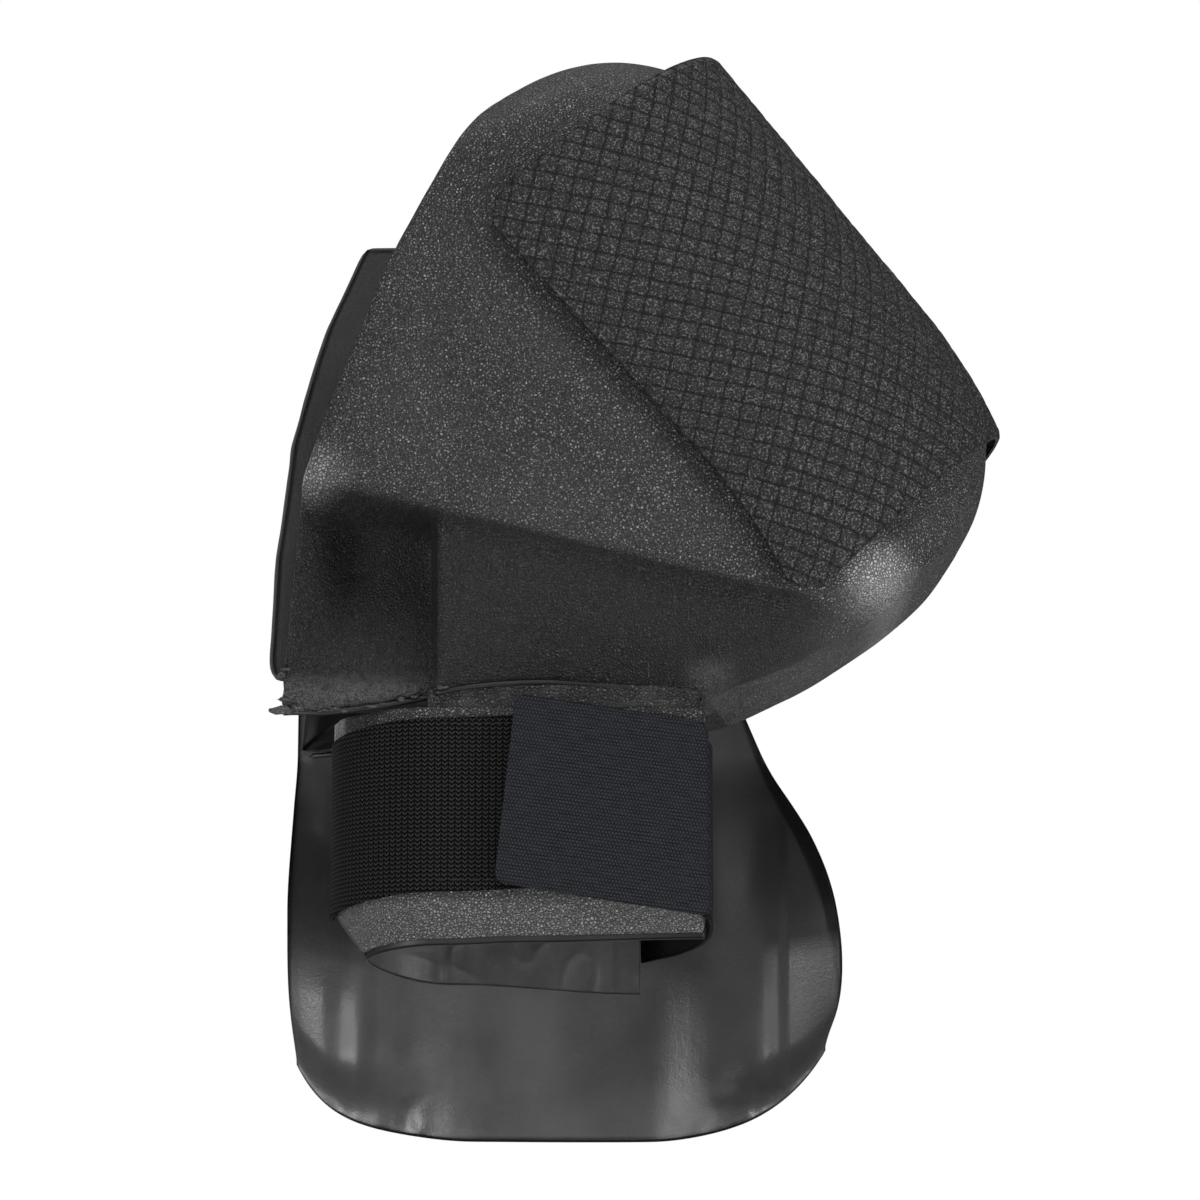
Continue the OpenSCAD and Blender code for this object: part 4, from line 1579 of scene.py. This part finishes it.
    def build_lining(self, us: Array) -> None:
        """Thin skin on the band's inside, a little longer than the foam along its lower edge.

        Args:
            us: stations along the band.
        """
        share, u = np.meshgrid(np.linspace(0.03, 1, 90), us, indexing="ij")
        low = table_value(self.low_in, u, True) - 1.4
        stand = self.thickness + self.film_gap + self.wrinkle(u, share)
        outer = self.grid(u, share, stand, self.top, low)
        inner = self.grid(u, share, stand + self.film, self.top, low)
        skin = make_piece("band_lining", slab(outer, inner, 0.3, 3), 0, None, LINING_FINISH.made(),
                          {"rim": self.lining_rim})
        settle(skin, None, ["front_backing", "wing_backing"])
        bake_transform(skin)

    def lining_rim(self, p: Array) -> Array:
        """Dark along the near leg's inside and its lower edge, pale on the far leg."""
        near = ease((-p[:, 1] - 10) / 8)
        return np.clip(0.9 * near, 0, 1)

    def build_patch(self) -> None:
        """Rounded patch welded to the far leg's inside, its border raised."""
        low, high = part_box("calf_patch")
        a, b = np.meshgrid(np.linspace(-1, 1, 60), np.linspace(-1, 1, 80), indexing="ij")
        reach = (np.abs(a) ** 6 + np.abs(b) ** 6) ** (1 / 6)
        square = np.maximum(np.abs(a), np.abs(b))
        draw = np.where(reach > 0, square / np.maximum(reach, 1e-6), 1)
        x = mix(low[0], high[0], 0.5 + 0.5 * a * draw) / MM
        z = mix(low[2], high[2], 0.5 + 0.5 * b * draw) / MM
        raised = ease((1 - square) / 0.08) * mix(1.0, 0.45, ease((1 - square) / 0.16 - 0.9))
        back, thick = high[1] / MM, (high[1] - low[1]) / MM
        front = np.stack([x, back - 0.3 - (thick - 0.3) * raised, z], -1)
        rear = np.stack([x, back + 0 * x + 0.3, z], -1)
        patch = make_piece("calf_panel", slab(front, rear, 0.1, 3), 1, None, LINING_FINISH.made())
        settle(patch, "wing", ["calf_patch"])


@dataclass
class BandWeb:
    """Moulded web of skin from the dome's lower edge down to the band."""

    top: tuple = ((-36, -127.2), (-20, -124.4), (10, -122.2), (40, -124.2), (68, -127.4))
    low: float = -132.6
    y: float = -59.0
    half: float = 2.0

    def build(self) -> None:
        """A thin strip, fuller at its two edges, between the top line and its foot."""
        x = np.linspace(-36, 68, 90)
        t = np.linspace(0, 1, 14)
        z_top = table_value(self.top, x, True) + 2.0
        waist = self.half * (0.75 + 0.6 * (2 * t - 1) ** 2)
        z = mix(z_top[:, None], self.low, t[None, :])
        wide = np.broadcast_to(x[:, None], z.shape)
        front = np.stack([wide, self.y - waist + 0 * z, z], -1)
        rear = np.stack([wide, self.y + waist + 0 * z, z], -1)
        # Painted shade: the web's colour gets half of the underside's darkening.
        web = make_piece("band_web_skin", slab(front, rear, 0.3, 4), 2, None, BAND_FINISH.made(),
                         {"torn": lambda p: 0.25 * (noise(p, 7, 61) > 0.2),
                          "under": lambda p: np.full(len(p), 0.5)})
        settle(web, None, ["band_web"])
        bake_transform(web)


# ---- strap ----------------------------------------------------------------------------------


@dataclass
class Strap:
    """Loop panel, hook tab and elastic return that close the band."""

    band: CalfBand
    gap: float = 0.3
    web: float = 1.4
    hook: float = 1.2
    panel_from: float = -0.75
    panel_to: float = 0.52
    panel_high: tuple = ((-0.75, -134.5), (-0.6, -135), (0, -137), (0.5, -141))
    panel_low: tuple = ((-0.75, -200.5), (-0.6, -201), (0, -203), (0.5, -209))
    tab_corners: tuple = ((-2, -128), (71, -139), (72, -213), (-10, -200))
    hook_corners: tuple = ((1, -131), (58, -139.5), (59, -209), (-6, -198))
    return_high: tuple = (-143, -151)
    return_low: tuple = (-210, -222)
    return_sag: float = 3.0
    return_plan: tuple = ((58, -64.3), (67.5, -64.3), (71.6, -61), (72.6, -48), (72, -26),
                          (68.4, -2), (61, 22), (52, 37), (47, 43), (34, 43.4), (20, 43.4))

    def build(self) -> None:
        """Makes every layer of the strap, from the band outwards."""
        self.build_panel()
        self.build_tab()
        self.build_return()
        self.build_stitches()

    def build_panel(self) -> None:
        """Loop pile on the near leg and half of the fold; its pattern follows its length."""
        t, u = np.meshgrid(np.linspace(0, 1, 40), np.linspace(self.panel_from, self.panel_to, 150),
                           indexing="ij")
        high, low = table_value(self.panel_high, u, True), table_value(self.panel_low, u, True)
        x, y = self.band.plan(u, -self.gap - self.web)
        along = length_along(np.stack([x[0], y[0]], -1))
        outer = np.stack([x, y, mix(high, low, t)], -1)
        bx, by = self.band.plan(u, -self.gap)
        inner = np.stack([bx, by, mix(high, low, t)], -1)
        uv = np.stack([np.broadcast_to(along, x.shape), mix(high, low, t)], -1)
        panel = make_piece("loop_field", slab(outer, inner, 0.3, 4, uv), 0,
                           lambda p: 0.08 * noise(p, 3, 71), LOOP_FINISH.made())
        settle(panel, None, ["loop_panel"])
        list(self.band.joint_ends())
        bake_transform(panel)

    @staticmethod
    def sheet_grid(corners: tuple, rounding: float, n: int = 70) -> Array:
        """Four-cornered outline filled with a grid whose corners are drawn in.

        A point is the two-way blend of the corners; towards a corner it is pulled in by the
        ratio of the square to a power curve, which rounds that corner.

        Args:
            corners: the four corners, round the outline.
            rounding: power of the curve; larger is squarer.
            n: points along a side.

        Returns:
            (n, n, 2) grid.
        """
        a, b = np.meshgrid(np.linspace(-1, 1, n), np.linspace(-1, 1, n), indexing="ij")
        reach = (np.abs(a) ** rounding + np.abs(b) ** rounding) ** (1 / rounding)
        draw = np.maximum(np.abs(a), np.abs(b)) / np.maximum(reach, 1e-6)
        s, t = 0.5 + 0.5 * a * draw, 0.5 + 0.5 * b * draw
        c = np.array(corners, float)
        top, low = mix(c[0], c[1], s[..., None]), mix(c[3], c[2], s[..., None])
        return mix(top, low, t[..., None])

    def flat_piece(self, name: str, corners: tuple, back: float, thick: float, finish: Finish,
                   swell: Callable[[Array], Array]) -> bpy.types.Object:
        """A flat layer of the strap over the near leg.

        Args:
            name: the piece's name.
            corners: its outline in X and Z.
            back: how far its inner face is off the loop panel.
            thick: its thickness.
            finish: what it wears.
            swell: how far the outer and inner face both stand further off, at grid points.

        Returns:
            The new object.
        """
        g = self.sheet_grid(corners, 26.0)
        inner_y = -self.band.near_face - self.gap - self.web - back - swell(g)
        outer = np.stack([g[..., 0], inner_y - thick, g[..., 1]], -1)
        inner = np.stack([g[..., 0], inner_y, g[..., 1]], -1)
        turn = math.radians(8)
        uv = g @ np.array([[math.cos(turn), math.sin(turn)], [-math.sin(turn), math.cos(turn)]])
        return make_piece(name, slab(outer, inner, 0.25, 4, uv), 0, None, finish.made())

    def lift(self, g: Array) -> Array:
        """The tab stands off a little along its free left edge and lower corner.

        Args:
            g: (rows, columns, 2) grid of X and Z.

        Returns:
            Millimetres off the hook patch.
        """
        left = ease((12 - g[..., 0]) / 20)
        ripple = 0.25 * np.sin(g[..., 1] / 9.0) + 0.15 * np.sin(g[..., 0] / 7.0 + 1)
        return 0.3 + left * (0.5 + ripple) + 0.1 * ripple

    def build_tab(self) -> None:
        """Hook patch and the cloth tab that carries it."""
        hook = self.flat_piece("hook_field", self.hook_corners, 0.4, self.hook, HOOK_FINISH,
                               lambda g: 0 * g[..., 0])
        settle(hook, "tab", ["tab_hook"])
        cloth = self.flat_piece("pull_tab", self.tab_corners, 0.6 + self.hook, self.web,
                                CLOTH_FINISH, self.lift)
        settle(cloth, None, ["strap_tab"])
        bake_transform(cloth)

    def build_return(self) -> None:
        """Elastic from under the tab, round the open side, to the far leg's outside."""
        t = np.linspace(0, 1, 160)
        path = curve(self.return_plan, t)
        ahead = unit(np.gradient(path, axis=0))
        out = np.stack([ahead[:, 1], -ahead[:, 0]], -1)
        across = np.linspace(0, 1, 40)[None, :]
        sag = -self.return_sag * np.sin(np.pi * t)[:, None]
        high, low = mix(*self.return_high, t)[:, None], mix(*self.return_low, t)[:, None]
        z = sag + mix(high, low, across)
        ripple = 0.25 * np.sin(t * 60)[:, None] * np.sin(np.pi * across) ** 0.5
        narrow = (np.sin(np.pi * t)[:, None] ** 0.5) * 0.6
        half = 0.5 * self.web

        def face(shift: float) -> Array:
            """One face of the elastic, shift away from its middle."""
            p = path[:, None] + out[:, None] * (shift + ripple * narrow)[..., None]
            return np.stack([p[..., 0], p[..., 1], z], -1)

        along = length_along(path)
        uv = np.stack([z, np.broadcast_to(along[:, None], z.shape)], -1)
        elastic = make_piece("elastic_return", slab(face(half), face(-half), 0.2, 4, uv), 0, None,
                             ELASTIC_FINISH.made())
        settle(elastic, None, ["strap_return", "strap_anchor"])
        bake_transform(elastic)

    @staticmethod
    def stitch(made: Surface, place: Array, along: Array) -> Surface:
        """Adds one stitch: a low lens of thread 3 mm long.

        Args:
            made: the surface that the stitch joins.
            place: its middle.
            along: the way it runs.

        Returns:
            The surface with the stitch.
        """
        a = np.linspace(0, np.pi, 7)[:, None]
        b = np.linspace(0, 2 * np.pi, 7)[None, :]
        up = np.array([0, 1.0, 0])
        side = np.cross(along, up)
        ball = (1.5 * np.cos(a)[..., None] * along
                + 0.35 * (np.sin(a) * np.cos(b))[..., None] * side
                + 0.3 * (np.sin(a) * np.sin(b))[..., None] * up)
        ball[:, -1] = ball[:, 0]
        return made.patch(place + ball)

    def stitch_rows(self, name: str, node: str, y: float, rows: Sequence[float], ends: tuple,
                    step: float, body: str) -> None:
        """Rows of stitches along X at heights rows, in place of a node's bars.

        Args:
            name: the piece's name.
            node: the node it replaces.
            y: the face that the rows lie on.
            rows: their heights.
            ends: X where a row starts and ends.
            step: from one stitch to the next.
            body: the body it rides on.
        """
        made = Surface()
        for z in rows:
            for x in np.arange(ends[0], ends[1], step):
                made = self.stitch(made, np.array([x, y, z]), np.array([1.0, 0, 0]))
        piece = make_piece(name, made, 0, None, THREAD_FINISH.made())
        settle(piece, body, [node])

    def build_stitches(self) -> None:
        """Thread that sews the panel to the band and the elastic to the far leg."""
        face = -self.band.near_face - self.gap - self.web
        self.stitch_rows("panel_stitches", "loop_stitching", face - 0.1, (-139, -199), (-30, 43),
                         4.2, "calf_band")
        low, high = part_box("anchor_stitching")
        self.stitch_rows("anchor_stitches", "anchor_stitching", 44.3, (-156, -160, -214, -218),
                         (low[0] / MM, high[0] / MM), 4.2, "wing")


# ---- guard ----------------------------------------------------------------------------------


@dataclass
class Guard:
    """Long sheet of skinned foam that hangs on the outer side, curled in at both edges."""

    back: tuple = ((-94,), (-94,), (-94,), (-94,), (-93,), (-89,))
    front: tuple = ((86,), (99.0,), (114.6,), (123.4,), (125,), (118,))
    root_y: float = 76.5
    hang_y: float = 70.0
    curl: float = 34.0
    thickness: float = 5.0
    film: float = 0.6
    film_gap: float = 0.2
    free: float = 0.14
    top: float = -110.0
    low: float = -290.0
    back_corner: float = 20.0
    front_corner: float = 26.0
    lip_from: float = 0.84
    lip_in: float = 9.0
    lip_up: float = 5.0
    flutes: tuple = ((-100, 4.0), (-78, 1.0), (-45, -3.0), (-15, -1.0), (20, 2.0), (48, 3.0),
                     (74, -2.0), (97, 4.0), (102, 3.4), (107, 0.0), (130, -2.0))

    def grid(self, u: Array, v: Array, depth: float) -> Array:
        """Point of the sheet: v runs down it, u from its back edge (-1) to its front edge (1).

        Y is the hanging plane, less a curl that grows as the 2.4th power towards both edges,
        plus upright flutes, and at the two lower corners a lip that turns in and up.

        Args:
            u: -1 to 1 across the sheet.
            v: 0 to 1 down it.
            depth: how far behind the inner face.

        Returns:
            (rows, columns, 3) grid.
        """
        x = mix(curve(self.back, v)[..., 0], curve(self.front, v)[..., 0], (u + 1) / 2)
        side = np.abs(u)
        y = mix(self.root_y, self.hang_y, ease((v - self.free) / 0.16))
        y = y - self.curl * side**2.4 * ease((v - self.free) / 0.45)
        flute = table_value(self.flutes, x, True) * ease((v - self.free) / 0.25)
        flute = flute * (1 - 0.7 * side**6)
        lip = self.lip(u, v)
        y = y + flute - self.lip_in * lip * np.where(u < 0, 1.0, 0.8)
        bottom = self.low + self.corner_rise(u) + self.lip_up * lip
        p = np.stack([x, y, mix(self.top, bottom, v)], -1)
        y = y + self.wrinkle(p, u, v) + depth
        return np.stack([x, y, p[..., 2]], -1)

    def corner_rise(self, u: Array) -> Array:
        """How far the lower edge rises towards its corners, tighter at the back one."""
        side = np.abs(u)
        return np.where(u < 0, self.back_corner * side**9, self.front_corner * side**6)

    def lip(self, u: Array, v: Array) -> Array:
        """1 in the turned lip at the two lower corners, 0 elsewhere."""
        down = ease((v - self.lip_from) / (1 - self.lip_from))
        return down * ease((np.abs(u) - 0.35) / 0.6)

    def wrinkle(self, p: Array, u: Array, v: Array) -> Array:
        """Long upright wrinkles at the back edge and short ones in the turned lip.

        Args:
            p: the grid before its wrinkles.
            u: -1 to 1 across the sheet.
            v: 0 to 1 down it.

        Returns:
            Move along Y, in millimetres.
        """
        left = ease((-u - 0.45) / 0.4)
        long = noise(p * [1, 0, 0.12], 7.5, 81)
        soft = noise(p * [1, 0, 0.3], 24, 82)
        lip = ease((v - 0.86) / 0.14) * ease((np.abs(u) - 0.3) / 0.5)
        short = noise(p * [1, 0, 0.9], 6.0, 83)
        hanging = ease((v - self.free) / 0.2)
        return hanging * (1.0 * left * long + 0.7 * soft) + 1.1 * lip * short

    def rim(self, p: Array) -> Array:
        """1 along the sheet's very edge.

        Args:
            p: (n, 3) points.

        Returns:
            One value per point, from the least distance to an edge.
        """
        v = (self.top - p[:, 2]) / (self.top - self.low)
        left = p[:, 0] - curve(self.back, v)[..., 0]
        right = curve(self.front, v)[..., 0] - p[:, 0]
        u = 2 * left / np.maximum(left + right, 1) - 1
        bottom = p[:, 2] - self.low - self.corner_rise(u)
        near = np.minimum(np.minimum(left, right), bottom - self.lip_up * self.lip(u, v))
        return ease((0.4 - near) / 1.2)

    def build(self) -> None:
        """Makes the foam sheet, its satin skin on the inner face, and the wedge that holds it."""
        v, u = np.meshgrid(np.linspace(0, 1, 150), np.linspace(-1, 1, 230), indexing="ij")
        foam = make_piece("guard_foam", slab(self.grid(u, v, self.thickness), self.grid(u, v, 0.0),
                                             0.8, 5), 0, None, SATIN_FINISH.made())
        settle(foam, "guard", ["side_guard"])
        v, u = np.meshgrid(np.linspace(0, 1.012, 150), np.linspace(-1.018, 1.018, 230),
                           indexing="ij")
        front = self.grid(u, v, -self.film_gap - self.film)
        rear = self.grid(u, v, -self.film_gap)
        skin = make_piece("guard_face_skin", slab(front, rear, 0.2, 3), 0, None,
                          SATIN_FINISH.made(), {"rim": self.rim})
        settle(skin, "guard", ["guard_skin"])
        self.build_wedge()

    def build_wedge(self) -> None:
        """Wedge of foam between the outer face of the dome's far wall and the guard's head."""
        low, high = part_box("guard_tongue")
        x, t = np.meshgrid(np.linspace(low[0] / MM, high[0] / MM, 80), np.linspace(0, 1, 16),
                           indexing="ij")
        foot, head = mix(-126.5, -122.8, ease((x + 40) / 50)), -112.0
        z = mix(head, foot, t)
        inner = np.stack([x, mix(67.0, 61.6, t), z], -1)
        outer = np.stack([x, self.root_y - self.film_gap - self.film - 0.3 + 0 * z, z], -1)
        wedge = make_piece("guard_wedge", slab(outer, inner, 0.5, 6), 2, None,
                           BAND_FINISH.made())
        settle(wedge, None, ["guard_tongue"])
        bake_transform(wedge)


# ---- studio ---------------------------------------------------------------------------------


@dataclass
class Studio:
    """Camera, lights, pale world and floor."""

    target: tuple = (0.030, 0.0, -0.080)
    distance: float = 1.6
    look_up: float = 10.0
    lens: float = 120.0
    floor_z: float = -0.72
    seen_light: float = 1.0
    cast_light: float = 0.05
    lamps: tuple = (("high_key", (0.35, -0.95, 1.50), (0.7, 0.5), 19),
                    ("overhead", (0.0, 0.4, 2.8), (2.6, 2.6), 42),
                    ("back_fill", (-0.6, 1.9, 0.2), (0.9, 0.9), 7),
                    ("front_fill", (-0.20, -1.45, 0.50), (0.9, 0.4), 5),
                    ("left_side", (-1.20, -0.65, -0.12), (0.25, 0.7), 9),
                    ("right_side", (1.15, -0.45, -0.30), (0.3, 0.8), 11),
                    ("nose_glint", (0.85, -1.00, -0.55), (0.10, 0.10), 2.5),
                    ("low_front", (-0.30, -0.95, -0.64), (0.5, 0.12), 0.8))

    def build(self) -> None:
        """Sets up everything round the pad."""
        bpy.context.scene.view_settings.view_transform = "Standard"
        self.build_camera()
        self.build_lights()
        self.build_world()
        self.build_floor()

    def build_camera(self) -> None:
        """Camera square to the pad's near side, a little below it and looking up."""
        tilt = math.radians(self.look_up)
        data = bpy.data.cameras.new("camera")
        data.lens = self.lens
        data.sensor_width = 36
        camera = bpy.data.objects.new("camera", data)
        bpy.context.scene.collection.objects.link(camera)
        x, y, z = self.target
        camera.location = (x, y - self.distance * math.cos(tilt), z - self.distance * math.sin(tilt))
        camera.rotation_euler = (math.radians(90) + tilt, 0, 0)
        bpy.context.scene.camera = camera

    def softbox(self, name: str, place: Sequence[float], size: Sequence[float],
                energy: float) -> None:
        """A rectangular light that faces the pad's middle.

        Args:
            name: the lamp's name.
            place: where it stands, in metres.
            size: its width and height.
            energy: its power in watts.
        """
        data = bpy.data.lights.new(name, "AREA")
        data.shape = "RECTANGLE"
        data.size, data.size_y = size
        data.energy = energy
        lamp = bpy.data.objects.new(name, data)
        bpy.context.scene.collection.objects.link(lamp)
        lamp.location = place
        aim = Vector(self.target) - Vector(place)
        lamp.rotation_euler = aim.to_track_quat("-Z", "Y").to_euler()

    def build_lights(self) -> None:
        """Puts up every lamp."""
        for name, place, size, energy in self.lamps:
            self.softbox(name, place, size, energy)

    def build_world(self) -> None:
        """White all round; a light path keeps the seen white apart from the light it gives."""
        world = bpy.data.worlds.new("pale")
        world.use_nodes = True
        bpy.context.scene.world = world
        tree = world.node_tree
        tree.nodes.clear()
        seen = tree.nodes.new("ShaderNodeBackground")
        seen.inputs[0].default_value = (1, 1, 1, 1)
        seen.inputs[1].default_value = self.seen_light
        cast = tree.nodes.new("ShaderNodeBackground")
        cast.inputs[0].default_value = (1, 1, 1, 1)
        cast.inputs[1].default_value = self.cast_light
        path = tree.nodes.new("ShaderNodeLightPath")
        choose = tree.nodes.new("ShaderNodeMixShader")
        out = tree.nodes.new("ShaderNodeOutputWorld")
        tree.links.new(path.outputs["Is Camera Ray"], choose.inputs[0])
        tree.links.new(cast.outputs[0], choose.inputs[1])
        tree.links.new(seen.outputs[0], choose.inputs[2])
        tree.links.new(choose.outputs[0], out.inputs[0])

    def build_floor(self) -> None:
        """A pale floor well below the pad."""
        a, b = np.meshgrid(np.linspace(-2.5, 2.5, 3), np.linspace(-2.5, 2.5, 3), indexing="ij")
        mesh = bpy.data.meshes.new("floor")
        grid = np.stack([a, b, 0 * a + self.floor_z], -1).reshape(-1, 3)
        quads = [(k, k + 3, k + 4, k + 1) for k in (0, 1, 3, 4)]
        mesh.from_pydata(grid.tolist(), [], quads)
        w = Wiring("floor_paint")
        paint = w.finish(w.shade(w.noise(w.place, 400), (0.86, 0.86, 0.86), (0.9, 0.9, 0.9)), 0.7,
                         None, 0, 0.2)
        mesh.materials.append(paint)
        floor = bpy.data.objects.new("floor", mesh)
        bpy.context.scene.collection.objects.link(floor)


def main() -> None:
    """Builds every sub-assembly round the frame."""
    logging.basicConfig(level=logging.INFO)
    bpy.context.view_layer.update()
    dome = Dome()
    band = CalfBand()
    parts = [dome, KneeCushion(dome), TreadPad(dome), band, BandWeb(), Strap(band), Guard(),
             Studio()]
    for part in parts:
        part.build()
        LOG.info("%s built", type(part).__name__)


if __name__ == "__main__":
    main()
